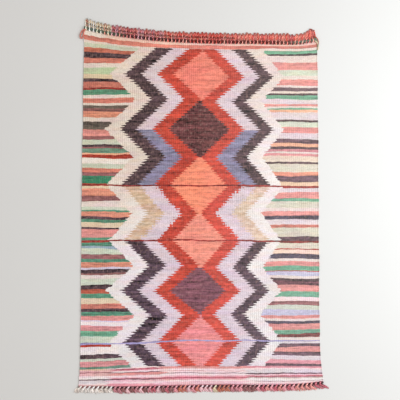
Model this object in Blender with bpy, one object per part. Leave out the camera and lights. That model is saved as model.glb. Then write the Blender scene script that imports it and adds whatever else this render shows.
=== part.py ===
"""Flat-woven cotton rug, lying flat, with looped warp ends at one end and knotted tassels at the other.

X runs across the rug, Y along it towards the looped end, Z is up and the underside lies at Z = 0.
The origin is under the middle of the whole rug, fringes included.
"""

import math
import random

import bmesh
import bpy

# Driving sizes of the cloth, in metres
CLOTH_LENGTH = 1.740
CLOTH_THICKNESS = 0.0030
RIB_COUNT = 120
RIB_HEIGHT = 0.0005
CLOTH_ROWS = 9
SELVEDGE_WAVE = 0.0012
SELVEDGE_WAVES = 5.5

# Driving sizes of the fringes, in metres
PARTING = 0.0003
STRIP_WIDTH = 0.0040
STRIP_THICKNESS = 0.0026
LOOP_COUNT = 62
LOOP_ROOT_WIDTH = 0.0095
LOOP_ANGLE_SPREAD = 0.026
LOOP_LENGTH_SPREAD = 0.06
TASSEL_COUNT = 56
TASSEL_ROOT_WIDTH = 0.0075
TASSEL_BEND_SPREAD = 0.0010
TASSEL_LENGTH_SPREAD = 0.06
STRIP_END_MARGIN = 0.004
SEED = 21

# Selvedges as the share of the way from the tassel end to the looped end, and X there
LEFT_SELVEDGE = (
    # share, x
    (0.00, -0.618),
    (0.04, -0.613),
    (0.13, -0.608),
    (0.45, -0.606),
    (0.75, -0.601),
    (1.00, -0.596),
)
RIGHT_SELVEDGE = (
    # share, x
    (0.00, 0.618),
    (0.04, 0.611),
    (0.13, 0.600),
    (0.45, 0.597),
    (0.75, 0.595),
    (1.00, 0.592),
)

# Woven ends as the share of the way across, and how far the end stands beyond its middle
LOOPED_END = (
    # share, rise
    (0.00, 0.0710),
    (0.05, 0.0560),
    (0.12, 0.0400),
    (0.22, 0.0235),
    (0.32, 0.0110),
    (0.50, 0.0000),
    (0.75, -0.0040),
    (0.90, -0.0065),
    (0.97, 0.0030),
    (1.00, 0.0110),
)
TASSEL_END = (
    # share, rise
    (0.00, -0.0050),
    (0.20, -0.0060),
    (0.50, 0.0000),
    (0.80, 0.0030),
    (0.92, 0.0090),
    (1.00, 0.0200),
)

# One folded loop, along its length: how far out, its width and its height off the floor
LOOP_SECTIONS = (
    # reach, width, height
    (0.009, 0.0120, 0.0062),
    (0.023, 0.0146, 0.0072),
    (0.039, 0.0160, 0.0084),
    (0.047, 0.0134, 0.0078),
    (0.052, 0.0080, 0.0054),
)

# One tassel: how far out, the sideways bend, its width and its height off the floor
TASSEL_SECTIONS = (
    # reach, bend, width, height
    (0.005, -0.0030, 0.0076, 0.0060),
    (0.010, -0.0066, 0.0084, 0.0066),
    (0.013, -0.0086, 0.0136, 0.0104),
    (0.018, -0.0094, 0.0144, 0.0102),
    (0.022, -0.0084, 0.0130, 0.0066),
    (0.029, -0.0056, 0.0180, 0.0056),
    (0.035, -0.0024, 0.0186, 0.0040),
    (0.0385, -0.0006, 0.0120, 0.0026),
)

# Corner tassels splay outwards over this share of the width, by up to these distances at their tips
SPLAY_SHARE = 0.10
SPLAY_LEFT = 0.030
SPLAY_RIGHT = 0.040

# Corner loops lean and reach further, as loosened warp ends do
LOOSE_SHARE = 0.09
LOOSE_REACH = 0.14

# Surface finishes: base colour, roughness and metallic
CLOTH_FINISH = ((0.72, 0.42, 0.34), 0.92, 0.0)
LOOP_FINISH = ((0.58, 0.16, 0.12), 0.94, 0.0)
TASSEL_FINISH = ((0.70, 0.38, 0.36), 0.94, 0.0)


def clear_scene():
    """Remove whatever the scene holds."""
    for obj in list(bpy.data.objects):
        bpy.data.objects.remove(obj, do_unlink=True)


def make_collection(name):
    """Return a new collection, linked under the scene."""
    collection = bpy.data.collections.new(name)
    bpy.context.scene.collection.children.link(collection)
    return collection


def make_material(name, finish):
    """Return a Principled material with the finish's colour, roughness and metallic value."""
    colour, roughness, metallic = finish
    material = bpy.data.materials.new(name)
    material.use_nodes = True
    shader = material.node_tree.nodes["Principled BSDF"]
    shader.inputs["Base Color"].default_value = (*colour, 1.0)
    shader.inputs["Roughness"].default_value = roughness
    shader.inputs["Metallic"].default_value = metallic
    return material


def make_object(name, bm, material, collection):
    """Turn a bmesh into a named object with one material."""
    bmesh.ops.recalc_face_normals(bm, faces=bm.faces)
    mesh = bpy.data.meshes.new(name)
    bm.to_mesh(mesh)
    bm.free()
    mesh.materials.append(material)
    obj = bpy.data.objects.new(name, mesh)
    collection.objects.link(obj)
    return obj


def slope_at(table, index):
    """Slope of a two-column table at one of its rows, from the rows on either side."""
    low = table[max(index - 1, 0)]
    high = table[min(index + 1, len(table) - 1)]
    return (high[1] - low[1]) / (high[0] - low[0])


def smooth(table, at):
    """Read a two-column table at a share of the way, on one smooth curve through its rows."""
    at = min(max(at, table[0][0]), table[-1][0])
    index = max(i for i, row in enumerate(table[:-1]) if row[0] <= at)
    (share, value), (next_share, next_value) = table[index : index + 2]
    span = next_share - share
    part = (at - share) / span
    rise = 3.0 * part**2 - 2.0 * part**3
    leaving = (part**3 - 2.0 * part**2 + part) * span * slope_at(table, index)
    arriving = (part**3 - part**2) * span * slope_at(table, index + 1)
    return value + (next_value - value) * rise + leaving + arriving


def selvedge_x(table, along, phase):
    """X of a selvedge at a share along the rug, with the slight wave of a handwoven edge."""
    wave = SELVEDGE_WAVE * math.sin(2.0 * math.pi * SELVEDGE_WAVES * along + phase)
    return smooth(table, along) + wave


def cloth_point(across, along):
    """X and Y of the cloth at a share of its width and a share of its length."""
    left = selvedge_x(LEFT_SELVEDGE, along, 0.0)
    right = selvedge_x(RIGHT_SELVEDGE, along, 2.0)
    low = -CLOTH_LENGTH / 2 + smooth(TASSEL_END, across)
    high = CLOTH_LENGTH / 2 + smooth(LOOPED_END, across)
    return left + (right - left) * across, low + (high - low) * along


def grid_sheet(columns, rows, place):
    """Return a bmesh grid whose points are placed from their shares across and along."""
    bm = bmesh.new()
    bmesh.ops.create_grid(bm, x_segments=columns, y_segments=rows, size=0.5)
    for vert in bm.verts:
        across = vert.co.x + 0.5
        along = vert.co.y + 0.5
        vert.co = place(across, along)
    return bm


def thicken_down(bm):
    """Close a sheet into a solid by extruding it down to a flat underside at Z = 0."""
    made = bmesh.ops.extrude_face_region(bm, geom=list(bm.faces), use_keep_orig=True)
    for item in made["geom"]:
        if isinstance(item, bmesh.types.BMVert):
            item.co.z = 0.0


def make_cloth(collection):
    """The woven cloth: one sheet with its warp ribs raised and its underside flat."""

    def place(across, along):
        x, y = cloth_point(across, along)
        column = round(across * 2 * RIB_COUNT)
        valley = RIB_HEIGHT if column % 2 == 0 else 0.0
        return x, y, CLOTH_THICKNESS - valley

    bm = grid_sheet(2 * RIB_COUNT, CLOTH_ROWS, place)
    thicken_down(bm)
    return make_object("rug_cloth", bm, make_material("woven_cloth", CLOTH_FINISH), collection)


def strip_edges(count, root_width, width):
    """Shares across the strip where roots and gaps begin and end, evenly spaced."""
    pitch = (width - 2 * STRIP_END_MARGIN) / count
    edges = [0.0]
    for index in range(count):
        middle = STRIP_END_MARGIN + pitch * (index + 0.5)
        edges.append((middle - root_width / 2) / width)
        edges.append((middle + root_width / 2) / width)
    edges.append(1.0)
    return edges


def make_strip(edges, along, outward):
    """A narrow strip that follows a woven end, and its outer side faces from left to right."""
    columns = len(edges) - 1

    def place(across, out):
        share = edges[round(across * columns)]
        x, y = cloth_point(share, along)
        reach = PARTING + STRIP_WIDTH * (out if outward > 0 else 1.0 - out)
        return x, y + outward * reach, STRIP_THICKNESS

    bm = grid_sheet(columns, 1, place)
    thicken_down(bm)
    bm.normal_update()
    bmesh.ops.recalc_face_normals(bm, faces=bm.faces)
    sides = [
        face
        for face in bm.faces
        if face.normal.y * outward > 0.5 and len({round(v.co.z, 5) for v in face.verts}) == 2
    ]
    sides.sort(key=lambda face: face.calc_center_median().x)
    return bm, sides


def grow_strand(bm, face, sections):
    """Extrude a strand from a side face, through sections of (x, y, width, height, heading)."""
    for x, y, width, height, heading in sections:
        face = bmesh.ops.extrude_discrete_faces(bm, faces=[face])["faces"][0]
        middle = face.calc_center_median()
        across_x = math.cos(heading)
        across_y = math.sin(heading)
        for vert in face.verts:
            side = 1.0 if vert.co.x > middle.x else -1.0
            top = vert.co.z > middle.z
            vert.co.x = x + side * across_x * width / 2
            vert.co.y = y + side * across_y * width / 2
            vert.co.z = height if top else 0.0


def root_of(face):
    """X and Y of a root face's middle."""
    middle = face.calc_center_median()
    return middle.x, middle.y


def loosened(share):
    """How loose a strand is, from 0 inside the rug to 1 at its two corners."""
    nearest = min(share, 1.0 - share)
    return max(0.0, 1.0 - nearest / LOOSE_SHARE)


def make_looped_fringe(collection):
    """The folded loops of warp beyond the looped end, fused at their roots in one strip."""
    rng = random.Random(SEED)
    left, _ = cloth_point(0.0, 1.0)
    right, _ = cloth_point(1.0, 1.0)
    edges = strip_edges(LOOP_COUNT, LOOP_ROOT_WIDTH, right - left)
    bm, sides = make_strip(edges, 1.0, 1.0)
    for index, face in enumerate(sides[1::2]):
        share = (index + 0.5) / LOOP_COUNT
        x, y = root_of(face)
        lean = rng.uniform(-LOOP_ANGLE_SPREAD, LOOP_ANGLE_SPREAD)
        stretch = 1.0 + rng.uniform(-LOOP_LENGTH_SPREAD, LOOP_LENGTH_SPREAD)
        stretch += LOOSE_REACH * loosened(share)
        sections = []
        for reach, width, height in LOOP_SECTIONS:
            out = reach * stretch
            sections.append((x + out * math.sin(lean), y + out * math.cos(lean), width, height, -lean))
        grow_strand(bm, face, sections)
    return make_object("fringe_top", bm, make_material("looped_warp", LOOP_FINISH), collection)


def splay_of(share):
    """How far sideways a tassel's tip is carried near the rug's corners."""
    if share < SPLAY_SHARE:
        return -SPLAY_LEFT * (1.0 - share / SPLAY_SHARE)
    if share > 1.0 - SPLAY_SHARE:
        return SPLAY_RIGHT * (1.0 - (1.0 - share) / SPLAY_SHARE)
    return 0.0


def make_tassel_fringe(collection):
    """The knotted tassels beyond the other end, fused at their roots in one strip."""
    rng = random.Random(SEED + 1)
    left, _ = cloth_point(0.0, 0.0)
    right, _ = cloth_point(1.0, 0.0)
    edges = strip_edges(TASSEL_COUNT, TASSEL_ROOT_WIDTH, right - left)
    bm, sides = make_strip(edges, 0.0, -1.0)
    whole_reach = TASSEL_SECTIONS[-1][0]
    for index, face in enumerate(sides[1::2]):
        share = (index + 0.5) / TASSEL_COUNT
        x, y = root_of(face)
        bend_more = rng.uniform(-TASSEL_BEND_SPREAD, TASSEL_BEND_SPREAD)
        stretch = 1.0 + rng.uniform(-TASSEL_LENGTH_SPREAD, TASSEL_LENGTH_SPREAD)
        splay = splay_of(share)
        sections = []
        for reach, bend, width, height in TASSEL_SECTIONS:
            part = reach / whole_reach
            aside = bend + bend_more * part + splay * part**1.5
            sections.append((x + aside, y - reach * stretch, width, height, 0.0))
        grow_strand(bm, face, sections)
    return make_object("fringe_bottom", bm, make_material("knotted_warp", TASSEL_FINISH), collection)


def centre_on_origin(objects):
    """Shift all meshes alike so that the origin lies under the middle of the whole rug."""
    corners = [vert.co for obj in objects for vert in obj.data.vertices]
    middle_x = (min(c.x for c in corners) + max(c.x for c in corners)) / 2
    middle_y = (min(c.y for c in corners) + max(c.y for c in corners)) / 2
    for obj in objects:
        for vert in obj.data.vertices:
            vert.co.x -= middle_x
            vert.co.y -= middle_y


def main():
    """Build the rug."""
    clear_scene()
    collection = make_collection("cotton_rug")
    objects = [
        make_cloth(collection),
        make_looped_fringe(collection),
        make_tassel_fringe(collection),
    ]
    centre_on_origin(objects)


main()
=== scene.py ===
"""Flat-woven cotton rug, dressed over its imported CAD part.

X runs across the rug, Y along it from the knotted tassels to the folded loops, and Z up from the floor.
All sizes are in metres unless a name says millimetres.
"""

import logging
import math
import random
from dataclasses import dataclass, field
from enum import Enum
from typing import Optional, Sequence, Union

import bpy
import numpy as np
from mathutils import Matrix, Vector


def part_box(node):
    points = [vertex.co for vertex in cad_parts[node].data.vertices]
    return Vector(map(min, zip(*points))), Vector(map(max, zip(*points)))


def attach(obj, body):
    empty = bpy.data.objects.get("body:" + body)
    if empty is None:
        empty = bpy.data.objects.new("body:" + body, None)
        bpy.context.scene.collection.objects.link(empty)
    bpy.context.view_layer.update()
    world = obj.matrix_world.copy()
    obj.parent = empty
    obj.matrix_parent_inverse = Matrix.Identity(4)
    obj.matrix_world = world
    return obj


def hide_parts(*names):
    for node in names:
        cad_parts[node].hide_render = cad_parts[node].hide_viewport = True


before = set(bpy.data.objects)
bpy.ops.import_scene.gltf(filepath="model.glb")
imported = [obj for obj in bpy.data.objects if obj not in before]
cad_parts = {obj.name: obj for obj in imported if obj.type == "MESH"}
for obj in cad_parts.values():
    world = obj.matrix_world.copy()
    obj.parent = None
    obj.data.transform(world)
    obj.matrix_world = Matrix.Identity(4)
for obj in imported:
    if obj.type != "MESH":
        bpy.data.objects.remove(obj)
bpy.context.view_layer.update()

LOG = logging.getLogger("cotton_rug")
MM = 0.001
WHOLE_TURN = 2.0 * math.pi
ROOT_BODY = "root"

Colour = tuple[float, float, float, float]
Table = tuple[tuple[float, float], ...]


class Yarn(Enum):
    """The dyed yarns of the rug, as sRGB colours from 0 to 255."""

    CREAM = (228, 215, 206)
    CREAM_WHITE = (240, 231, 225)
    CREAM_BEIGE = (226, 208, 190)
    CREAM_LILAC = (222, 211, 212)
    SNOW = (234, 228, 224)
    CREAM_PINK = (244, 221, 218)
    PEACH_CREAM = (238, 212, 192)
    PALE_MINT = (205, 214, 193)
    MINT = (186, 204, 168)
    MINT_SAND = (212, 208, 188)
    SAND = (225, 205, 175)
    SAND_PEACH = (228, 196, 166)
    PEACH = (238, 182, 150)
    TERRACOTTA = (190, 114, 92)
    RUST = (178, 92, 70)
    CORAL = (208, 127, 112)
    SOFT_CORAL = (212, 130, 116)
    WARM_BLUSH = (240, 204, 190)
    CORAL_PINK = (221, 148, 141)
    CORAL_RED = (214, 90, 78)
    ORANGE_CORAL = (222, 149, 125)
    BLUSH = (238, 194, 199)
    PEACH_PINK = (226, 180, 174)
    PINK = (230, 156, 164)
    ROSE = (190, 100, 112)
    MAUVE = (150, 100, 100)
    MAUVE_PINK = (202, 136, 144)
    GREY_MAUVE = (168, 138, 144)
    BROWN_MAUVE = (128, 88, 84)
    PLUM_MAUVE = (110, 68, 78)
    PLUM_GREY = (98, 78, 84)
    CHARCOAL = (80, 62, 67)
    CHARCOAL_PLUM = (102, 77, 88)
    CHARCOAL_NAVY = (74, 68, 84)
    DARK_OLIVE = (96, 88, 80)
    CHARCOAL_MAUVE = (84, 66, 77)
    GREEN = (88, 142, 116)
    SOFT_GREEN = (112, 170, 140)
    EMERALD = (58, 132, 100)
    DARK_MAROON = (62, 14, 16)
    DARK_BROWN = (94, 24, 12)
    FOREST = (74, 96, 74)
    GREY_GREEN = (116, 128, 112)
    BRICK = (170, 60, 45)
    BRICK_PLUM = (132, 62, 62)
    DARK_RED = (140, 50, 45)
    RED = (206, 80, 66)
    ROSE_RED = (188, 90, 88)
    DEEP_RED = (190, 72, 56)
    LIGHT_BLUE = (148, 168, 178)
    LAVENDER = (165, 160, 200)
    LAVENDER_CREAM = (214, 206, 222)
    PALE_LAVENDER = (196, 193, 214)
    SLATE_LAVENDER = (138, 135, 162)
    FADED_GREEN = (108, 144, 124)
    LILAC = (217, 201, 208)
    TAN = (204, 174, 144)
    SALMON = (231, 132, 114)
    APRICOT = (237, 141, 111)
    ROSE_CORAL = (234, 144, 142)
    PEACH_CORAL = (236, 148, 128)
    MAROON = (98, 58, 58)
    AUBERGINE = (128, 82, 92)
    BARE_WARP = (186, 150, 138)
    DARK_PLUM = (62, 28, 34)
    DUSTY_ROSE = (215, 146, 146)

    @property
    def linear(self) -> Colour:
        """The yarn's colour as the shader takes it."""
        red, green, blue = (channel_to_linear(channel / 255) for channel in self.value)
        return red, green, blue, 1.0


class End(Enum):
    """The two woven ends of the rug."""

    LOOPED = "looped"
    KNOTTED = "knotted"


class Edge(Enum):
    """The two long edges of the rug, as the sign of X there."""

    LEFT = -1
    RIGHT = 1


FringeChart = tuple[tuple[float, tuple[Yarn, ...]], ...]


def channel_to_linear(value: float) -> float:
    """Turn one sRGB channel into linear light.

    Args:
        value: the channel from 0 to 1.

    Returns:
        The linear value from 0 to 1.
    """
    if value <= 0.04045:
        return value / 12.92
    return ((value + 0.055) / 1.055) ** 2.4


# The outline of the cloth, as part.py has it
CLOTH_LENGTH = 1.740
SELVEDGE_WAVE = 0.0012
SELVEDGE_WAVES = 5.5
STRIP_END_MARGIN = 0.004
PATTERN_AXIS = 0.0036
END_SAMPLES = 241

LEFT_SELVEDGE: Table = (
    (0.00, -0.618), (0.04, -0.613), (0.13, -0.608), (0.45, -0.606), (0.75, -0.601), (1.00, -0.596),
)
RIGHT_SELVEDGE: Table = (
    (0.00, 0.618), (0.04, 0.611), (0.13, 0.600), (0.45, 0.597), (0.75, 0.595), (1.00, 0.592),
)
LOOPED_END: Table = (
    (0.00, 0.0710), (0.05, 0.0560), (0.12, 0.0400), (0.22, 0.0235), (0.32, 0.0110), (0.50, 0.0000),
    (0.75, -0.0040), (0.90, -0.0065), (0.97, 0.0030), (1.00, 0.0110),
)
TASSEL_END: Table = (
    (0.00, -0.0050), (0.20, -0.0060), (0.50, 0.0000), (0.80, 0.0030), (0.92, 0.0090), (1.00, 0.0200),
)

# The charts of the weave: thicknesses in millimetres, from the field's top down
LEFT_STRIPES = (
    (Yarn.CREAM, 1.5), (Yarn.PALE_MINT, 13), (Yarn.TERRACOTTA, 16), (Yarn.CHARCOAL, 20), (Yarn.CORAL, 22.5),
    (Yarn.CREAM, 20.5), (Yarn.MINT, 33.5), (Yarn.SAND, 23), (Yarn.CHARCOAL, 16), (Yarn.CORAL, 28.5),
    (Yarn.DARK_RED, 10), (Yarn.GREEN, 24.5), (Yarn.CREAM, 16), (Yarn.CORAL, 23), (Yarn.CREAM, 14.5),
    (Yarn.DARK_OLIVE, 17), (Yarn.BROWN_MAUVE, 15.5), (Yarn.ORANGE_CORAL, 29), (Yarn.CREAM, 19.5),
    (Yarn.DARK_OLIVE, 37), (Yarn.CORAL_PINK, 35), (Yarn.MAUVE, 19), (Yarn.PALE_MINT, 26.5),
    (Yarn.CHARCOAL, 12), (Yarn.MAUVE, 6.5), (Yarn.FADED_GREEN, 21), (Yarn.PEACH, 7), (Yarn.BRICK, 19),
    (Yarn.CREAM_WHITE, 27), (Yarn.PALE_MINT, 22.5), (Yarn.CORAL, 22), (Yarn.MAUVE, 18), (Yarn.EMERALD, 36),
    (Yarn.BRICK, 13), (Yarn.SAND, 13.5), (Yarn.ORANGE_CORAL, 35.5), (Yarn.MAUVE, 27), (Yarn.CREAM, 31),
    (Yarn.PALE_MINT, 16), (Yarn.GREEN, 8.5), (Yarn.ORANGE_CORAL, 21.5), (Yarn.CHARCOAL, 14.5),
    (Yarn.GREEN, 13.5), (Yarn.SAND, 24.5), (Yarn.CHARCOAL, 11), (Yarn.CORAL_PINK, 41), (Yarn.GREEN, 12.5),
    (Yarn.BRICK, 12), (Yarn.GREEN, 19), (Yarn.LIGHT_BLUE, 14), (Yarn.PALE_MINT, 25.5), (Yarn.MAUVE, 23.5),
    (Yarn.GREEN, 17.5), (Yarn.ORANGE_CORAL, 27.5), (Yarn.LAVENDER_CREAM, 9), (Yarn.CHARCOAL, 15.5),
    (Yarn.BROWN_MAUVE, 11), (Yarn.CREAM, 18), (Yarn.PALE_MINT, 30.5), (Yarn.CHARCOAL, 24),
    (Yarn.RUST, 21.5), (Yarn.GREEN, 24.5), (Yarn.SAND, 26), (Yarn.CORAL, 24), (Yarn.CHARCOAL, 14),
    (Yarn.GREEN, 20), (Yarn.CORAL_PINK, 23), (Yarn.LAVENDER_CREAM, 5), (Yarn.CREAM_WHITE, 19),
    (Yarn.DUSTY_ROSE, 28), (Yarn.SOFT_GREEN, 27), (Yarn.PALE_MINT, 33), (Yarn.SLATE_LAVENDER, 9),
    (Yarn.BRICK, 12.5), (Yarn.CREAM_WHITE, 33.5), (Yarn.CHARCOAL, 19.5), (Yarn.PALE_MINT, 9),
    (Yarn.DUSTY_ROSE, 19.5), (Yarn.FADED_GREEN, 12.5),
)
RIGHT_STRIPES = (
    (Yarn.CREAM, 8), (Yarn.SOFT_GREEN, 15.5), (Yarn.CHARCOAL, 9.5), (Yarn.CREAM, 31),
    (Yarn.CORAL_PINK, 38.5), (Yarn.PALE_MINT, 33.5), (Yarn.CREAM, 17), (Yarn.CORAL_PINK, 28.5),
    (Yarn.CREAM, 11.5), (Yarn.PLUM_GREY, 19.5), (Yarn.CREAM, 11.5), (Yarn.CHARCOAL, 10),
    (Yarn.SOFT_GREEN, 19), (Yarn.CREAM_LILAC, 23), (Yarn.CORAL_PINK, 10.5), (Yarn.CREAM, 10),
    (Yarn.SOFT_GREEN, 9.5), (Yarn.PEACH, 12), (Yarn.CREAM_LILAC, 39), (Yarn.CHARCOAL, 11),
    (Yarn.PALE_MINT, 26), (Yarn.CORAL_PINK, 29), (Yarn.CREAM_LILAC, 30), (Yarn.CHARCOAL_PLUM, 20),
    (Yarn.PEACH, 16.5), (Yarn.CHARCOAL, 14.5), (Yarn.MAUVE_PINK, 12), (Yarn.CREAM, 9),
    (Yarn.DUSTY_ROSE, 12.5), (Yarn.CREAM_BEIGE, 28), (Yarn.CHARCOAL, 10.5), (Yarn.MINT_SAND, 39),
    (Yarn.ORANGE_CORAL, 20.5), (Yarn.CHARCOAL_PLUM, 29), (Yarn.SAND_PEACH, 25), (Yarn.DARK_RED, 7),
    (Yarn.CREAM_LILAC, 20), (Yarn.CORAL_PINK, 29), (Yarn.SOFT_GREEN, 14.5), (Yarn.MINT_SAND, 38),
    (Yarn.CREAM, 13.5), (Yarn.CORAL_PINK, 21), (Yarn.CHARCOAL_NAVY, 20.5), (Yarn.CREAM_LILAC, 26),
    (Yarn.CORAL, 15), (Yarn.MINT_SAND, 42), (Yarn.CHARCOAL_PLUM, 23.5), (Yarn.DARK_RED, 6),
    (Yarn.MINT_SAND, 32.5), (Yarn.BRICK, 6), (Yarn.PEACH_CREAM, 20.5), (Yarn.CHARCOAL_NAVY, 25),
    (Yarn.CREAM, 13.5), (Yarn.CORAL_PINK, 23), (Yarn.SOFT_GREEN, 20.5), (Yarn.BRICK, 4.5),
    (Yarn.PALE_LAVENDER, 22), (Yarn.CREAM, 13.5), (Yarn.CHARCOAL, 12.5), (Yarn.PLUM_MAUVE, 21.5),
    (Yarn.CORAL_PINK, 29.5), (Yarn.SOFT_GREEN, 25.5), (Yarn.CREAM_PINK, 23), (Yarn.MAUVE, 19),
    (Yarn.PALE_MINT, 21), (Yarn.PALE_LAVENDER, 28), (Yarn.CORAL_PINK, 16.5), (Yarn.CREAM, 11),
    (Yarn.CHARCOAL_NAVY, 15.5), (Yarn.CORAL_PINK, 29), (Yarn.SOFT_GREEN, 18.5), (Yarn.BRICK_PLUM, 17),
    (Yarn.CREAM, 23.5), (Yarn.CREAM_LILAC, 9.5), (Yarn.CHARCOAL_PLUM, 17), (Yarn.CORAL_PINK, 23.5),
    (Yarn.CHARCOAL_PLUM, 19.5), (Yarn.CREAM_LILAC, 19.5), (Yarn.PINK, 21.5), (Yarn.CHARCOAL_PLUM, 12.5),
)

# The border along the knotted end, from the end inwards, in the four stretches from left to right
CORNER_BORDER = (
    (Yarn.PEACH_PINK, 5.5), (Yarn.CREAM_PINK, 6.5), (Yarn.CREAM_LILAC, 18.5), (Yarn.PLUM_GREY, 6.5),
    (Yarn.CREAM_WHITE, 9.5), (Yarn.CREAM_PINK, 9), (Yarn.PEACH_PINK, 16), (Yarn.MAUVE, 5.5),
    (Yarn.PEACH_PINK, 10), (Yarn.SAND_PEACH, 8.5),
)
LEFT_BORDER = (
    (Yarn.PINK, 10.5), (Yarn.BLUSH, 5), (Yarn.CREAM_PINK, 6), (Yarn.BLUSH, 10), (Yarn.PLUM_MAUVE, 5),
    (Yarn.MAUVE_PINK, 4.5), (Yarn.BLUSH, 5), (Yarn.CREAM_PINK, 7), (Yarn.PEACH_PINK, 5),
    (Yarn.CORAL_PINK, 11), (Yarn.PLUM_GREY, 3), (Yarn.CREAM_PINK, 7.5), (Yarn.PINK, 5), (Yarn.ROSE, 6),
    (Yarn.CREAM_PINK, 5),
)
MIDDLE_BORDER = (
    (Yarn.MAUVE_PINK, 5), (Yarn.BLUSH, 15), (Yarn.CREAM_PINK, 6), (Yarn.PEACH_PINK, 4), (Yarn.PINK, 5),
    (Yarn.ROSE, 5.5), (Yarn.PINK, 5), (Yarn.BLUSH, 5), (Yarn.CREAM_PINK, 9), (Yarn.PLUM_GREY, 3.5),
    (Yarn.CREAM_PINK, 7), (Yarn.PEACH_PINK, 4.5), (Yarn.CREAM_PINK, 7.5), (Yarn.PEACH_PINK, 5),
    (Yarn.CORAL_PINK, 8.5),
)
RIGHT_BORDER = (
    (Yarn.BLUSH, 9), (Yarn.CREAM_PINK, 9), (Yarn.GREY_MAUVE, 4), (Yarn.CREAM_WHITE, 11),
    (Yarn.CREAM_BEIGE, 4), (Yarn.GREY_MAUVE, 5), (Yarn.ROSE, 6.5), (Yarn.BLUSH, 7), (Yarn.CHARCOAL_PLUM, 7),
    (Yarn.CREAM_LILAC, 17), (Yarn.CREAM_PINK, 7), (Yarn.PINK, 5), (Yarn.MAUVE_PINK, 4),
)

# The diamonds down the middle: their lengths as shares of the field's
DIAMONDS = (
    (Yarn.SALMON, 0.163), (Yarn.MAROON, 0.180), (Yarn.APRICOT, 0.178), (Yarn.PEACH_CORAL, 0.167),
    (Yarn.AUBERGINE, 0.151), (Yarn.ROSE_CORAL, 0.161),
)


class Signal:
    """One value inside a material's nodes, which takes part in arithmetic."""

    def __init__(self, graph: "NodeGraph", socket: bpy.types.NodeSocket) -> None:
        """Keep the graph and the socket that gives the value."""
        self.graph = graph
        self.socket = socket

    def __add__(self, other: "Amount") -> "Signal":
        """Sum of two values."""
        return self.graph.math("ADD", self, other)

    __radd__ = __add__

    def __sub__(self, other: "Amount") -> "Signal":
        """Difference of two values."""
        return self.graph.math("SUBTRACT", self, other)

    def __rsub__(self, other: "Amount") -> "Signal":
        """Difference of a plain number and this value."""
        return self.graph.math("SUBTRACT", other, self)

    def __mul__(self, other: "Amount") -> "Signal":
        """Product of two values."""
        return self.graph.math("MULTIPLY", self, other)

    __rmul__ = __mul__

    def __truediv__(self, other: "Amount") -> "Signal":
        """Quotient of two values."""
        return self.graph.math("DIVIDE", self, other)

    def above(self, other: "Amount") -> "Signal":
        """1 where this value is the greater, and otherwise 0."""
        return self.graph.math("GREATER_THAN", self, other)

    def below(self, other: "Amount") -> "Signal":
        """1 where this value is the smaller, and otherwise 0."""
        return self.graph.math("LESS_THAN", self, other)

    def size(self) -> "Signal":
        """The value without its sign."""
        return self.graph.math("ABSOLUTE", self)

    def whole(self) -> "Signal":
        """The whole number below this value."""
        return self.graph.math("FLOOR", self)

    def sine(self) -> "Signal":
        """The sine of this value in radians."""
        return self.graph.math("SINE", self)

    def limited(self) -> "Signal":
        """The value kept from 0 to 1."""
        made = self.graph.math("ADD", self, 0.0)
        made.socket.node.use_clamp = True
        return made

    def grows(self, start: float, over: float) -> "Signal":
        """How far the value has come from a start, as a share from 0 to 1 of the given way."""
        return ((self - start) / over).limited()

    def zigzag(self, half_period: float) -> "Signal":
        """A straight-sided wave from -1 to 1 whose half period is given in this value's own unit."""
        return self.graph.math("PINGPONG", self, half_period) * (2.0 / half_period) - 1.0


Amount = Union[Signal, float]


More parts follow.
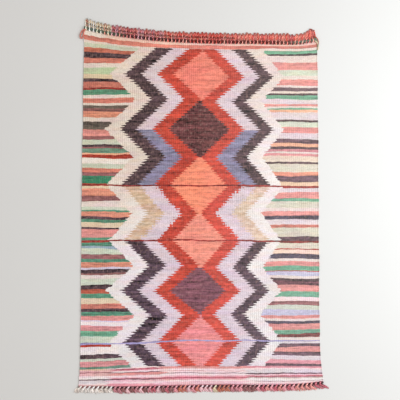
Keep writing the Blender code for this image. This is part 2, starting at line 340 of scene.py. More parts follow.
class NodeGraph:
    """A material's nodes, built from plain calls."""

    def __init__(self, name: str) -> None:
        """Make the material and keep its shader."""
        self.material = bpy.data.materials.new(name)
        self.material.use_nodes = True
        self.tree = self.material.node_tree
        self.shader = self.tree.nodes["Principled BSDF"]

    def node(self, kind: str) -> bpy.types.Node:
        """Add one node of a kind."""
        return self.tree.nodes.new(kind)

    def feed(self, socket: bpy.types.NodeSocket, value: Union[Amount, Colour]) -> None:
        """Give a socket a signal, or a constant.

        Args:
            socket: the input to set.
            value: a signal to link, or a number or colour to write.
        """
        if isinstance(value, Signal):
            self.tree.links.new(value.socket, socket)
        else:
            socket.default_value = value

    def math(self, operation: str, first: Amount, second: Amount = 0.0) -> Signal:
        """One Math node.

        Args:
            operation: Blender's name for the operation.
            first: its first input.
            second: its second input.

        Returns:
            The node's result.
        """
        node = self.node("ShaderNodeMath")
        node.operation = operation
        self.feed(node.inputs[0], first)
        self.feed(node.inputs[1], second)
        return Signal(self, node.outputs[0])

    def uv(self, name: str) -> tuple[Signal, Signal]:
        """The two coordinates of one of the piece's own UV maps."""
        source = self.node("ShaderNodeUVMap")
        source.uv_map = name
        parts = self.node("ShaderNodeSeparateXYZ")
        self.tree.links.new(source.outputs[0], parts.inputs[0])
        return Signal(self, parts.outputs[0]), Signal(self, parts.outputs[1])

    def object_point(self) -> Signal:
        """The point's place in its object."""
        return Signal(self, self.node("ShaderNodeTexCoord").outputs["Object"])

    def attribute(self, name: str) -> Signal:
        """The colour of one of the piece's own attributes."""
        source = self.node("ShaderNodeAttribute")
        source.attribute_name = name
        return Signal(self, source.outputs["Color"])

    def point(self, x: Amount, y: Amount, z: Amount = 0.0) -> Signal:
        """A vector from three values."""
        node = self.node("ShaderNodeCombineXYZ")
        for socket, value in zip(node.inputs, (x, y, z)):
            self.feed(socket, value)
        return Signal(self, node.outputs[0])

    def noise(self, at: Signal, scale: float, detail: float = 2.0, roughness: float = 0.5) -> Signal:
        """Smooth noise from about -1 to 1.

        Args:
            at: the vector it is read at.
            scale: features in each unit of that vector.
            detail: octaves.
            roughness: strength of the finer octaves.

        Returns:
            The noise, centred on 0.
        """
        node = self.node("ShaderNodeTexNoise")
        self.feed(node.inputs["Vector"], at)
        node.inputs["Scale"].default_value = scale
        node.inputs["Detail"].default_value = detail
        node.inputs["Roughness"].default_value = roughness
        return (Signal(self, node.outputs[0]) - 0.5) * 2.0

    def ramp(self, at: Signal, stops: Sequence[tuple[float, Colour]], stepped: bool) -> Signal:
        """A colour ramp.

        Args:
            at: the value it is read at, from 0 to 1.
            stops: places and colours, in order.
            stepped: whether each colour holds until the next stop.

        Returns:
            The ramp's colour.
        """
        node = self.node("ShaderNodeValToRGB")
        ramp = node.color_ramp
        ramp.interpolation = "CONSTANT" if stepped else "LINEAR"
        ramp.elements.remove(ramp.elements[1])
        for index, (place, colour) in enumerate(stops):
            element = ramp.elements[0] if index == 0 else ramp.elements.new(place)
            element.position = place
            element.color = colour
        self.feed(node.inputs[0], at)
        return Signal(self, node.outputs[0])

    def mix(self, share: Amount, first: Union[Signal, Colour], second: Union[Signal, Colour]) -> Signal:
        """Blend two colours.

        Args:
            share: 0 for the first colour, 1 for the second.
            first: a colour or a signal of one.
            second: a colour or a signal of one.

        Returns:
            The blended colour.
        """
        node = self.node("ShaderNodeMix")
        node.data_type = "RGBA"
        self.feed(node.inputs[0], share)
        self.feed(node.inputs[6], first)
        self.feed(node.inputs[7], second)
        return Signal(self, node.outputs[2])

    def lightness(self, colour: Signal) -> Signal:
        """How light a colour is, from 0 to 1."""
        node = self.node("ShaderNodeRGBToBW")
        self.feed(node.inputs[0], colour)
        return Signal(self, node.outputs[0])

    def scaled(self, colour: Signal, factor: Amount) -> Signal:
        """A colour made lighter or darker by a factor."""
        node = self.node("ShaderNodeVectorMath")
        node.operation = "SCALE"
        self.feed(node.inputs[0], colour)
        self.feed(node.inputs["Scale"], factor)
        return Signal(self, node.outputs[0])

    def tinted(self, colour: Signal, tint: Colour, share: Amount) -> Signal:
        """A colour multiplied by a tint, as far as a share says."""
        node = self.node("ShaderNodeVectorMath")
        node.operation = "MULTIPLY"
        self.feed(node.inputs[0], colour)
        node.inputs[1].default_value = tint[:3]
        return self.mix(share, colour, Signal(self, node.outputs[0]))

    def bump(self, height: Signal, distance: float, strength: float) -> Signal:
        """A bumped normal from a height of 0 to 1 that stands for a distance in metres."""
        node = self.node("ShaderNodeBump")
        node.inputs["Strength"].default_value = strength
        node.inputs["Distance"].default_value = distance
        self.feed(node.inputs["Height"], height)
        return Signal(self, node.outputs[0])

    def surface(self, colour: Union[Signal, Colour], roughness: Amount, normal: Signal, sheen: float) -> None:
        """Connect the shader's main inputs.

        Args:
            colour: the base colour.
            roughness: from 0 to 1.
            normal: the bumped normal.
            sheen: weight of the soft fibre sheen.
        """
        self.feed(self.shader.inputs["Base Color"], colour)
        self.feed(self.shader.inputs["Roughness"], roughness)
        self.feed(self.shader.inputs["Normal"], normal)
        self.shader.inputs["Sheen Weight"].default_value = sheen
        self.shader.inputs["Sheen Roughness"].default_value = 0.6
        self.shader.inputs["Specular IOR Level"].default_value = 0.15


@dataclass(frozen=True)
class EdgeLine:
    """One edge of the rug as a smooth curve through the rows of a two-column table."""

    rows: Table

    def slopes(self) -> np.ndarray:
        """Slope at each row, from the rows on either side."""
        table = np.array(self.rows)
        low = table[np.maximum(np.arange(len(table)) - 1, 0)]
        high = table[np.minimum(np.arange(len(table)) + 1, len(table) - 1)]
        return (high[:, 1] - low[:, 1]) / (high[:, 0] - low[:, 0])

    def at(self, share: np.ndarray) -> np.ndarray:
        """Read the curve.

        Args:
            share: where, as shares of the way.

        Returns:
            The value at each share.
        """
        table = np.array(self.rows)
        slopes = self.slopes()
        share = np.clip(share, table[0, 0], table[-1, 0])
        index = np.clip(np.searchsorted(table[:, 0], share, side="right") - 1, 0, len(table) - 2)
        span = table[index + 1, 0] - table[index, 0]
        part = (share - table[index, 0]) / span
        rise = 3.0 * part**2 - 2.0 * part**3
        leaving = (part**3 - 2.0 * part**2 + part) * span * slopes[index]
        arriving = (part**3 - part**2) * span * slopes[index + 1]
        return table[index, 1] + (table[index + 1, 1] - table[index, 1]) * rise + leaving + arriving


@dataclass
class RugOutline:
    """Where the cloth's points lie: across it from 0 to 1, and up it in metres from the knotted end."""

    left: EdgeLine = EdgeLine(LEFT_SELVEDGE)
    right: EdgeLine = EdgeLine(RIGHT_SELVEDGE)
    looped: EdgeLine = EdgeLine(LOOPED_END)
    knotted: EdgeLine = EdgeLine(TASSEL_END)
    looped_reach: float = 0.050
    knotted_reach: float = 0.018
    ripples: tuple[tuple[float, float, float, float], ...] = (
        # x, y, height and direction in degrees of each long low ripple
        (0.56, 0.42, 0.0020, 8.0), (0.60, -0.28, 0.0024, -6.0), (-0.62, 0.10, 0.0022, 5.0),
        (-0.60, -0.52, 0.0018, -9.0), (-0.58, 0.58, 0.0016, -4.0), (0.58, 0.02, 0.0012, 3.0),
    )
    ripple_length: float = 0.26
    ripple_width: float = 0.045
    calm_end: float = 0.12
    shift: tuple[float, float] = field(init=False)

    def __post_init__(self) -> None:
        """Find how far the part was moved to centre it, from the CAD cloth's own box."""
        low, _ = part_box("rug_cloth")
        shares = np.linspace(0.0, 1.0, END_SAMPLES)
        across = self.selvedge(Edge.LEFT, np.zeros(1))[0]
        along = (self.knotted.at(shares) - CLOTH_LENGTH / 2).min()
        self.shift = (low[0] - across, low[1] - along)

    @property
    def axis(self) -> float:
        """X of the pattern's middle line."""
        return PATTERN_AXIS + self.shift[0]

    def selvedge(self, edge: Edge, along: np.ndarray) -> np.ndarray:
        """X of a selvedge before centring, at shares along the rug."""
        line, phase = (self.left, 0.0) if edge is Edge.LEFT else (self.right, 2.0)
        return line.at(along) + SELVEDGE_WAVE * np.sin(WHOLE_TURN * SELVEDGE_WAVES * along + phase)

    def place(self, across: np.ndarray, up: np.ndarray) -> tuple[np.ndarray, np.ndarray]:
        """X and Y of points of the cloth.

        Args:
            across: shares of the width.
            up: metres from the knotted end.

        Returns:
            X and Y of each point.
        """
        along = up / CLOTH_LENGTH
        left = self.selvedge(Edge.LEFT, along)
        right = self.selvedge(Edge.RIGHT, along)
        bend = self.knotted.at(across) * np.exp(-up / self.knotted_reach)
        bend = bend + self.looped.at(across) * np.exp(-(CLOTH_LENGTH - up) / self.looped_reach)
        x = left + (right - left) * across + self.shift[0]
        y = up - CLOTH_LENGTH / 2 + bend + self.shift[1]
        return x, y

    def lift(self, x: np.ndarray, y: np.ndarray, up: np.ndarray) -> np.ndarray:
        """How far the cloth stands off the floor in its low ripples.

        Args:
            x: X of the points.
            y: Y of the points.
            up: metres from the knotted end.

        Returns:
            The height at each point.
        """
        total = np.zeros_like(x)
        for centre_x, centre_y, height, degrees in self.ripples:
            turn = math.radians(degrees)
            along = (x - centre_x) * math.cos(turn) + (y - centre_y) * math.sin(turn)
            beside = (y - centre_y) * math.cos(turn) - (x - centre_x) * math.sin(turn)
            total += height * np.exp(-((along / self.ripple_length) ** 2) - (beside / self.ripple_width) ** 2)
        ends = np.minimum(up, CLOTH_LENGTH - up)
        return total * np.clip(ends / self.calm_end, 0.0, 1.0)

    def end_point(self, end: End, across: float, beyond: float) -> tuple[float, float]:
        """X and Y of a point beyond a woven end.

        Args:
            end: which end.
            across: share of the width.
            beyond: metres outwards from the end.

        Returns:
            X and Y of the point.
        """
        outward = 1.0 if end is End.LOOPED else -1.0
        up = CLOTH_LENGTH if end is End.LOOPED else 0.0
        x, y = self.place(np.array([across]), np.array([up]))
        return float(x[0]), float(y[0]) + outward * beyond

    def strand_shares(self, end: End, count: int) -> list[float]:
        """Shares of the width at which a fringe's strands start, at even steps along its root strip.

        Args:
            end: which end.
            count: how many strands.

        Returns:
            The strands' shares from left to right.
        """
        left, _ = self.end_point(end, 0.0, 0.0)
        right, _ = self.end_point(end, 1.0, 0.0)
        margin = STRIP_END_MARGIN / (right - left)
        return [margin + (1.0 - 2.0 * margin) * (index + 0.5) / count for index in range(count)]


@dataclass(frozen=True)
class StripeChart:
    """Stripes in their order, with their thicknesses."""

    stripes: tuple[tuple[Yarn, float], ...]
    stops_a_ramp: int = 20

    def starts(self, length: float) -> list[tuple[float, Yarn]]:
        """Where each stripe starts, when all together fill a length.

        Args:
            length: the length to fill, in metres.

        Returns:
            The start and the yarn of each stripe.
        """
        whole = sum(thickness for _, thickness in self.stripes)
        found = []
        reached = 0.0
        for yarn, thickness in self.stripes:
            found.append((reached / whole * length, yarn))
            reached += thickness
        return found

    def colour(self, graph: NodeGraph, depth: Signal, length: float) -> Signal:
        """The stripes' colour at a depth.

        Args:
            graph: the material's nodes.
            depth: distance from the first stripe's start.
            length: the length that the stripes fill.

        Returns:
            The colour there.
        """
        starts = self.starts(length)
        colour = None
        for first in range(0, len(starts), self.stops_a_ramp):
            group = starts[first : first + self.stops_a_ramp]
            low = group[0][0]
            after = starts[first + self.stops_a_ramp : first + self.stops_a_ramp + 1]
            high = after[0][0] if after else length
            stops = [((start - low) / (high - low), yarn.linear) for start, yarn in group]
            ramp = graph.ramp((depth - low) / (high - low), stops, stepped=True)
            colour = ramp if colour is None else graph.mix(depth.above(low), colour, ramp)
        return colour


@dataclass(frozen=True)
class ZigzagSide:
    """One side of the zigzag field, measured outwards from its middle line in millimetres.

    The red band's outer edge reaches out to each turn's distance in turn, and the turns follow each other
    down the field after the given lengths. Each band's outer edge is that reach times a factor, and an
    amount more.
    """

    reaches: tuple[float, ...]
    lengths: tuple[float, ...]
    bands: tuple[tuple[float, float], ...]
    longest_reach: float = 300.0

    def turn_stops(self) -> list[tuple[float, Colour]]:
        """The reaches as a ramp's stops, from black for none to white for the longest."""
        whole = sum(self.lengths)
        stops = []
        reached = 0.0
        for reach, length in zip(self.reaches, (*self.lengths, 0.0)):
            level = reach / self.longest_reach
            stops.append((reached / whole, (level, level, level, 1.0)))
            reached += length
        return stops


LEFT_ZIGZAG = ZigzagSide(
    reaches=(67, 226, 90, 250, 102, 240, 109, 226, 100, 241, 94, 228, 108),
    lengths=(127, 130, 152, 145, 138, 153, 133, 130, 128, 125, 138, 119),
    bands=((1.037, -90), (1.0, 0), (1.0, 81), (0.98, 170), (0.98, 249)),
)
RIGHT_ZIGZAG = ZigzagSide(
    reaches=(73, 217, 70, 218, 75, 207, 68, 197, 75, 196, 61, 196, 83),
    lengths=(143, 127, 142, 141, 149, 136, 139, 137, 118, 118, 137, 126),
    bands=((1.0, -76), (1.0, 0), (0.943, 88), (0.957, 156), (0.779, 250)),
)


@dataclass(frozen=True)
class Unevenness:
    """A layer of chance over a surface: smooth noise with its own grain each way."""

    across: float
    up: float
    strength: float
    octaves: float = 1.0
    roughness: float = 0.5


@dataclass(frozen=True)
class Spot:
    """A spot on a surface: the material's nodes, and its two coordinates."""

    graph: NodeGraph
    across: Signal
    up: Signal

    @property
    def leftwards(self) -> Signal:
        """Distance to the left of the middle line."""
        return 0.0 - self.across

    def chance(self, layer: Unevenness, level: float = 0.0) -> Signal:
        """A layer's value at the spot, up to about its strength on either side of 0.

        Args:
            layer: the layer of chance.
            level: which slice of the noise, so that two layers differ.

        Returns:
            The value.
        """
        place = self.graph.point(self.across * layer.across, self.up * layer.up, level)
        return self.graph.noise(place, 1.0, layer.octaves, layer.roughness) * layer.strength


@dataclass(frozen=True)
class CrossingLine:
    """A thin line of the weave from selvedge to selvedge, measured down the field."""

    depth: float
    half_thickness: float
    yarn: Yarn
    slope: float = 0.0
    left_drop: float = 0.0


@dataclass(frozen=True)
class WovenFinish:
    """The woven cloth: its stripes, zigzag field, borders, ribs and picks, all from the Weave UV map."""

    lower_border: float = 0.0955
    border_seams: tuple[float, float, float] = (-0.470, -0.202, 0.225)
    seam_softness: float = 0.03
    seam_drift: Unevenness = Unevenness(4.0, 70.0, 0.10)
    upper_border: float = 0.0345
    upper_cream: float = 0.015
    # how the rows stray from straight lines
    long_waves: Unevenness = Unevenness(3.6, 12.0, 0.0115)
    short_waves: Unevenness = Unevenness(30.0, 75.0, 0.0034)
    calm_share: float = 0.35
    corner_slant: float = 0.0195
    # the zigzag field
    lines: tuple[CrossingLine, ...] = (
        CrossingLine(0.697, 0.0040, Yarn.DARK_RED, slope=0.009),
        CrossingLine(0.977, 0.0038, Yarn.DARK_RED, slope=0.002),
        CrossingLine(1.4810, 0.0034, Yarn.LAVENDER, left_drop=0.0205),
    )
    slate_stretch: tuple[float, float] = (0.413, 0.698)
    tan_stretch: tuple[float, float] = (0.698, 0.977)
    red_depth: Unevenness = Unevenness(2.0, 5.0, 0.5, 2.0)
    tan_wear: Unevenness = Unevenness(26.0, 70.0, 1.3, 2.0)
    tan_fray: Unevenness = Unevenness(110.0, 22.0, 0.030)
    stripe_wedges: Unevenness = Unevenness(3.0, 48.0, 0.020, 2.0)
    stripe_ends: Unevenness = Unevenness(5.0, 170.0, 0.016)
    finger_pitch: float = 0.0125
    finger_reach: float = 0.0092
    inner_fingers: float = 0.82
    finger_shift: float = 0.0031
    finger_play: Unevenness = Unevenness(24.0, 62.0, 1.0)
    finger_lengths: Unevenness = Unevenness(9.0, 130.0, 1.7)
    # uneven dye and wear; painted rib shading, upper-left shade and right-hand glare
    bands: Unevenness = Unevenness(3.0, 58.0, 0.80, 2.0)
    streaks: Unevenness = Unevenness(11.0, 150.0, 0.95, 2.0, 0.6)
    grains: Unevenness = Unevenness(46.0, 80.0, 0.62)
    threads: Unevenness = Unevenness(45.0, 400.0, 0.26)
    patches: Unevenness = Unevenness(7.0, 7.0, 0.18, 3.0, 0.6)
    flecks: Unevenness = Unevenness(190.0, 140.0, 0.24)
    warmth: Unevenness = Unevenness(12.0, 55.0, 1.8, 2.0)
    rosiness: Unevenness = Unevenness(7.0, 24.0, 2.2, 2.0)
    specks: Unevenness = Unevenness(85.0, 70.0, 1.6)
    dashes: Unevenness = Unevenness(7.31, 52.0, 2.4)
    speck_share: float = 0.24
    dash_share: float = 0.17
    rib_painted_shade: float = 0.08
    warm_tint: Colour = (1.03, 0.95, 0.90, 1.0)
    rosy_tint: Colour = (1.0, 0.93, 1.02, 1.0)
    cool_end: Colour = (0.965, 0.985, 1.03, 1.0)
    warm_end: Colour = (1.0, 0.985, 0.955, 1.0)
    # painted shade over the upper left of the cloth, where the light falls off
    painted_left_shade: Colour = (0.93, 0.925, 0.87, 1.0)
    # painted glare over the right side: colours mixed towards a pale warm haze
    painted_right_glare: Colour = (0.46, 0.40, 0.37, 1.0)
    painted_glare_share: float = 0.12
    # the weave's relief
    rib_pitch: float = 0.010
    warp_pitch: float = 0.00333
    pick_pitch: float = 0.0024
    fibre: Unevenness = Unevenness(900.0, 2600.0, 0.08)
    relief: float = 0.0006
    bump_strength: float = 0.9
    roughness: float = 0.92
    rough_grain: Unevenness = Unevenness(260.0, 260.0, 0.05, 2.0)
    sheen: float = 0.10

    @property
    def field_length(self) -> float:
        """Length of the field between the two borders."""
        return CLOTH_LENGTH - self.lower_border - self.upper_border

    def material(self) -> bpy.types.Material:
        """Build the material.

        Returns:
            The cloth's material.
        """
        graph = NodeGraph("woven_cotton")
        at = Spot(graph, *graph.uv("Weave"))
        rows = Spot(graph, at.across, self.wavy_rows(at))
        depth = (CLOTH_LENGTH - self.upper_border) - rows.up
        colour = self.field_colour(at, depth)
        colour = self.crossed(at, depth, colour)
        colour = self.bordered(rows, depth, colour)
        colour = self.aged(at, colour)
        normal = graph.bump(self.weave_height(at), self.relief, self.bump_strength)
        graph.surface(colour, self.roughness + at.chance(self.rough_grain), normal, self.sheen)
        return graph.material

    def wavy_rows(self, at: Spot) -> Signal:
        """The height up the rug as the rows of the weave run, which are never quite straight."""
        below_top = CLOTH_LENGTH - at.up
        calm = at.up.grows(0.0, 0.20) * below_top.grows(0.0, 0.16) * (1.0 - self.calm_share) + self.calm_share
        near_end = (1.0 - at.up.grows(0.095, 0.044)) * at.up.grows(0.0, 0.085)
        slant = at.leftwards.grows(0.23, 0.38) * self.corner_slant * near_end
        return at.up + at.chance(self.long_waves) * calm + at.chance(self.short_waves) + slant

    def field_colour(self, at: Spot, depth: Signal) -> Signal:
        """The diamonds, the zigzag bands round them and the stripes outside.

        Args:
            at: the spot, its height along straight rows.
            depth: distance down from the field's top, along the wavy rows.

        Returns:
            The field's colour.
        """
        graph = at.graph
        right = at.across.above(0.0)
        share = ((CLOTH_LENGTH - self.upper_border) - at.up) / self.field_length
        turns = [graph.ramp(share, side.turn_stops(), stepped=False) for side in (LEFT_ZIGZAG, RIGHT_ZIGZAG)]
        reach = graph.mix(right, *turns) * (LEFT_ZIGZAG.longest_reach * MM)
        outwards = at.across.size()
        tan = depth.above(self.tan_stretch[0]) * depth.below(self.tan_stretch[1])
        bands = (*self.band_colours(at, depth, share, right, tan), self.stripe_colour(graph, right, depth))
        colour = self.diamond_colour(graph, share)
        for index, band in enumerate(bands):
            left_factor, left_more = LEFT_ZIGZAG.bands[index]
            right_factor, right_more = RIGHT_ZIGZAG.bands[index]
            factor = right * (right_factor - left_factor) + left_factor
            more = right * ((right_more - left_more) * MM) + left_more * MM
            if index < len(bands) - 1:
                seam = self.fingers(at, index)
            else:
                seam = at.chance(self.stripe_wedges) + at.chance(self.stripe_ends)
            if index in (1, 2):
                seam = seam + tan * at.chance(self.tan_fray)
            colour = graph.mix((outwards + seam).above(reach * factor + more), colour, band)
        return colour

    def band_colours(
        self, at: Spot, depth: Signal, share: Signal, right: Signal, tan: Signal
    ) -> tuple[Signal, Signal, Signal, Signal]:
        """The four bands' colours, each of which changes down the field.

        Args:
            at: the spot, its height along straight rows.
            depth: distance down from the field's top.
            share: the same as a share of the field's length.
            right: 1 on the right side, 0 on the left.
            tan: 1 where the dark band is tan.

        Returns:
            The colours from the red band outwards.
        """
        graph = at.graph
        fresh = right * share * 1.6 + (1.0 - right) * (share - 0.74) * 5.0 + at.chance(self.red_depth)
        red = graph.mix(fresh.limited(), Yarn.DEEP_RED.linear, Yarn.RED.linear)
        slate = depth.above(self.slate_stretch[0]) * depth.below(self.slate_stretch[1])
        lilac = graph.mix(slate, Yarn.LILAC.linear, Yarn.SLATE_LAVENDER.linear)
        thin = at.chance(self.tan_wear) + 0.25 + right * 0.35
        worn_tan = graph.mix(thin.limited(), Yarn.TAN.linear, Yarn.CREAM_BEIGE.linear)
        plum = graph.mix(depth.grows(0.90, 0.25), Yarn.CHARCOAL.linear, Yarn.CHARCOAL_MAUVE.linear)
        snowy = (depth + at.across * 0.8).grows(0.40, 0.35)
        cream = graph.mix(snowy, Yarn.CREAM.linear, Yarn.SNOW.linear)
        return red, lilac, graph.mix(tan, plum, worn_tan), cream

    def fingers(self, at: Spot, index: int) -> Signal:
        """The uneven comb of fingers by which two colours meet along a slanting edge."""
        loose = at.chance(self.finger_play, 3.7 * index)
        reach = self.finger_reach * (1.0 if index else self.inner_fingers)
        comb = (at.up + loose * 0.0050 + self.finger_shift * index).zigzag(self.finger_pitch / 2)
        blunt = (comb * 0.68 + 0.5).limited() * 2.0 - 1.0
        return blunt * ((at.chance(self.finger_lengths, 5.1 * index) + 1.0) * reach) + loose * 0.0045

    def diamond_colour(self, graph: NodeGraph, share: Signal) -> Signal:
        """The diamonds' colours down the middle."""
        stops = []
        reached = 0.0
        for yarn, part in DIAMONDS:
            stops.append((reached, yarn.linear))
            reached += part
        return graph.ramp(share, stops, stepped=True)

    def stripe_colour(self, graph: NodeGraph, right: Signal, depth: Signal) -> Signal:
        """The stripes beside the zigzags, from each side's own chart."""
        charts = (LEFT_STRIPES, RIGHT_STRIPES)
        sides = [StripeChart(chart).colour(graph, depth, self.field_length) for chart in charts]
        return graph.mix(right, *sides)

    def crossed(self, at: Spot, depth: Signal, colour: Signal) -> Signal:
        """Draw the thin lines that run from selvedge to selvedge.

        Args:
            at: the spot.
            depth: distance down from the field's top.
            colour: the colour under the lines.

        Returns:
            The colour with the lines on it.
        """
        for line in self.lines:
            middle = at.across * line.slope + at.leftwards.grows(0.10, 0.50) * line.left_drop + line.depth
            on_line = (depth - middle).size().below(line.half_thickness)
            colour = at.graph.mix(on_line, colour, line.yarn.linear)
        return colour

    def bordered(self, rows: Spot, depth: Signal, colour: Signal) -> Signal:
        """Add the plain borders along both woven ends.

        Args:
            rows: the spot, its height along the wavy rows.
            depth: distance down from the field's top.
            colour: the field's colour.

        Returns:
            The colour of the whole cloth.
        """
        graph, across, up = rows.graph, rows.across, rows.up
        drift = rows.chance(self.seam_drift)
        lower = StripeChart(CORNER_BORDER).colour(graph, up, self.lower_border)
        for chart, seam in zip((LEFT_BORDER, MIDDLE_BORDER, RIGHT_BORDER), self.border_seams):
            beyond = ((across + drift - seam) / self.seam_softness + 0.5).limited()
            lower = graph.mix(beyond, lower, StripeChart(chart).colour(graph, up, self.lower_border))
        colour = graph.mix(up.below(self.lower_border), colour, lower)
        rise = rows.leftwards.grows(-0.10, 0.15) * 0.0025
        narrow = across.grows(0.285, 0.02) * 0.003 + rows.leftwards.grows(0.40, 0.20) * 0.004
        coral = depth.below(-0.001 - rise - narrow) * up.below(CLOTH_LENGTH - self.upper_cream)
        edge = graph.mix(across.grows(-0.54, 0.10), Yarn.CREAM_WHITE.linear, Yarn.WARM_BLUSH.linear)
        below_coral = graph.mix(depth.above(-0.012), edge, Yarn.CREAM.linear)
        upper = graph.mix(coral, below_coral, Yarn.SOFT_CORAL.linear)
        return graph.mix(depth.below(0.0 - rise), colour, upper)

    def aged(self, at: Spot, colour: Signal) -> Signal:
        """Streak the rows, vary the dye, show bare warps, and paint rib shading, left shade and right glare.

        Args:
            at: the spot, its height along straight rows.
            colour: the even colour of the cloth.

        Returns:
            The colour of the used cloth, with painted light and shade in it.
        """
        graph, up = at.graph, at.up
        lightness = graph.lightness(colour)
        dark = ((0.14 - lightness) * 10.0).limited()
        depth_of_dye = ((0.80 - lightness) * 1.25).limited() * (1.0 + dark * 0.9)
        uneven = (at.chance(self.bands) + at.chance(self.streaks) + at.chance(self.grains)) * depth_of_dye
        all_over = at.chance(self.threads) + at.chance(self.patches) + at.chance(self.flecks)
        rib = (at.across * (WHOLE_TURN / self.rib_pitch)).sine()
        # painted shade along the ribs: each rib's colour is made lighter and darker across it
        dyed = graph.scaled(colour, 1.0 + uneven + all_over + rib * self.rib_painted_shade)
        tints = (
            (self.warm_tint, (at.chance(self.warmth) + 0.35).limited()),
            (self.rosy_tint, (at.chance(self.rosiness, 4.0) + 0.3).limited()),
            (self.cool_end, 1.0 - up.grows(0.0, 0.95)),
            (self.warm_end, up.grows(0.9, 0.8)),
            # painted shade: the upper left darkened and greyed as if less light reaches it
            (self.painted_left_shade, at.leftwards.grows(0.06, 0.25) * up.grows(0.70, 0.40)),
        )
        for tint, share in tints:
            dyed = graph.tinted(dyed, tint, share)
        # painted glare: the right side is mixed towards a pale haze, as reflected window light
        dyed = graph.mix(at.across.grows(-0.05, 0.50) * self.painted_glare_share, dyed, self.painted_right_glare)
        worn = (at.chance(self.specks, 9.0) - 0.10).limited() * depth_of_dye * self.speck_share
        dyed = graph.mix(worn, dyed, Yarn.BARE_WARP.linear)
        warps = Spot(graph, (at.across / self.rib_pitch + 0.25).whole(), up)
        bare = rib.above(0.55) * (warps.chance(self.dashes) - 0.1).limited() * self.dash_share
        return graph.mix(bare, dyed, Yarn.BARE_WARP.linear)

    def weave_height(self, at: Spot) -> Signal:
        """Height of the weave: picks that pass over every other warp."""
        row = at.up / self.pick_pitch
        odd = (row.whole() * 0.5 - (row.whole() * 0.5).whole()) * 2.0
        over = ((at.across / self.warp_pitch + odd) * math.pi).sine()
        return 0.5 + over * 0.25 + (row * WHOLE_TURN).sine() * 0.17 + at.chance(self.fibre)


@dataclass(frozen=True)
class PliedFinish:
    """Plied yarn: the strand's colour and painted light and shade from its attribute, with fibres twisted
    round it.
    """

    name: str
    fibre_pitch: float = 0.0030
    twist_painted_shade: float = 0.09
    fuzz: Unevenness = Unevenness(6.0, 900.0, 1.0, 2.0)
    fuzz_tone: float = 0.10
    patch_scale: float = 90.0
    patch_tone: float = 0.16
    relief: float = 0.0004
    roughness: float = 0.94
    sheen: float = 0.11

    def material(self) -> bpy.types.Material:
        """Build the material.

        Returns:
            The yarn's material.
        """
        graph = NodeGraph(self.name)
        around, along = graph.uv("Strand")
        twist = ((along / self.fibre_pitch + around * 2.0) * WHOLE_TURN).sine()
        fuzz = Spot(graph, around, along).chance(self.fuzz)
        patches = graph.noise(graph.object_point(), self.patch_scale) * self.patch_tone
        # painted shade in the twist: the colour is lighter and darker along the fibres' turns
        tone = 1.0 + twist * self.twist_painted_shade + fuzz * self.fuzz_tone + patches
        colour = graph.scaled(graph.attribute("YarnColourAndPaintedLight"), tone)
        normal = graph.bump(0.5 + twist * 0.3 + fuzz * 0.2, self.relief, 0.9)
        graph.surface(colour, self.roughness + fuzz * 0.04, normal, self.sheen)
        return graph.material


@dataclass(frozen=True)
class FloorFinish:
    """The plain pale floor."""

    colour: Colour = (0.70, 0.69, 0.67, 1.0)
    warmer_colour: Colour = (0.685, 0.675, 0.655, 1.0)
    roughness: float = 0.75

    def material(self) -> bpy.types.Material:
        """Build the floor's material."""
        graph = NodeGraph("pale_floor")
        grain = graph.noise(graph.object_point(), 3.0, 3.0)
        even = graph.mix((0.5 + grain * 0.5).limited(), self.colour, self.warmer_colour)
        normal = graph.bump(graph.noise(graph.object_point(), 60.0), 0.0002, 0.1)
        graph.surface(even, self.roughness, normal, 0.0)
        return graph.material


def select_only(obj: bpy.types.Object) -> None:
    """Make one object the only selected and active one."""
    bpy.ops.object.select_all(action="DESELECT")
    obj.select_set(True)
    bpy.context.view_layer.objects.active = obj


def read_points(mesh: bpy.types.Mesh) -> np.ndarray:
    """The mesh's points, one in each row."""
    points = np.empty(len(mesh.vertices) * 3)
    mesh.vertices.foreach_get("co", points)
    return points.reshape(-1, 3)


def read_corners(mesh: bpy.types.Mesh) -> np.ndarray:
    """The number of the point at each face's corner."""
    corners = np.empty(len(mesh.loops), dtype=int)
    mesh.loops.foreach_get("vertex_index", corners)
    return corners


def write_weave(
    mesh: bpy.types.Mesh, layer: bpy.types.MeshUVLoopLayer, across: np.ndarray, up: np.ndarray
) -> None:
    """Fill a Weave map, in metres across from the middle line and up the rug.

    Args:
        mesh: the piece's mesh.
        layer: its map.
        across: each point's distance from the middle line.
        up: each point's height up the rug.
    """
    corners = read_corners(mesh)
    layer.data.foreach_set("uv", np.stack([across[corners], up[corners]], axis=1).ravel())


@dataclass
class RugPiece:
    """What each piece of the rug needs: where the cloth's points lie, and the material."""

    outline: RugOutline
    finish: bpy.types.Material


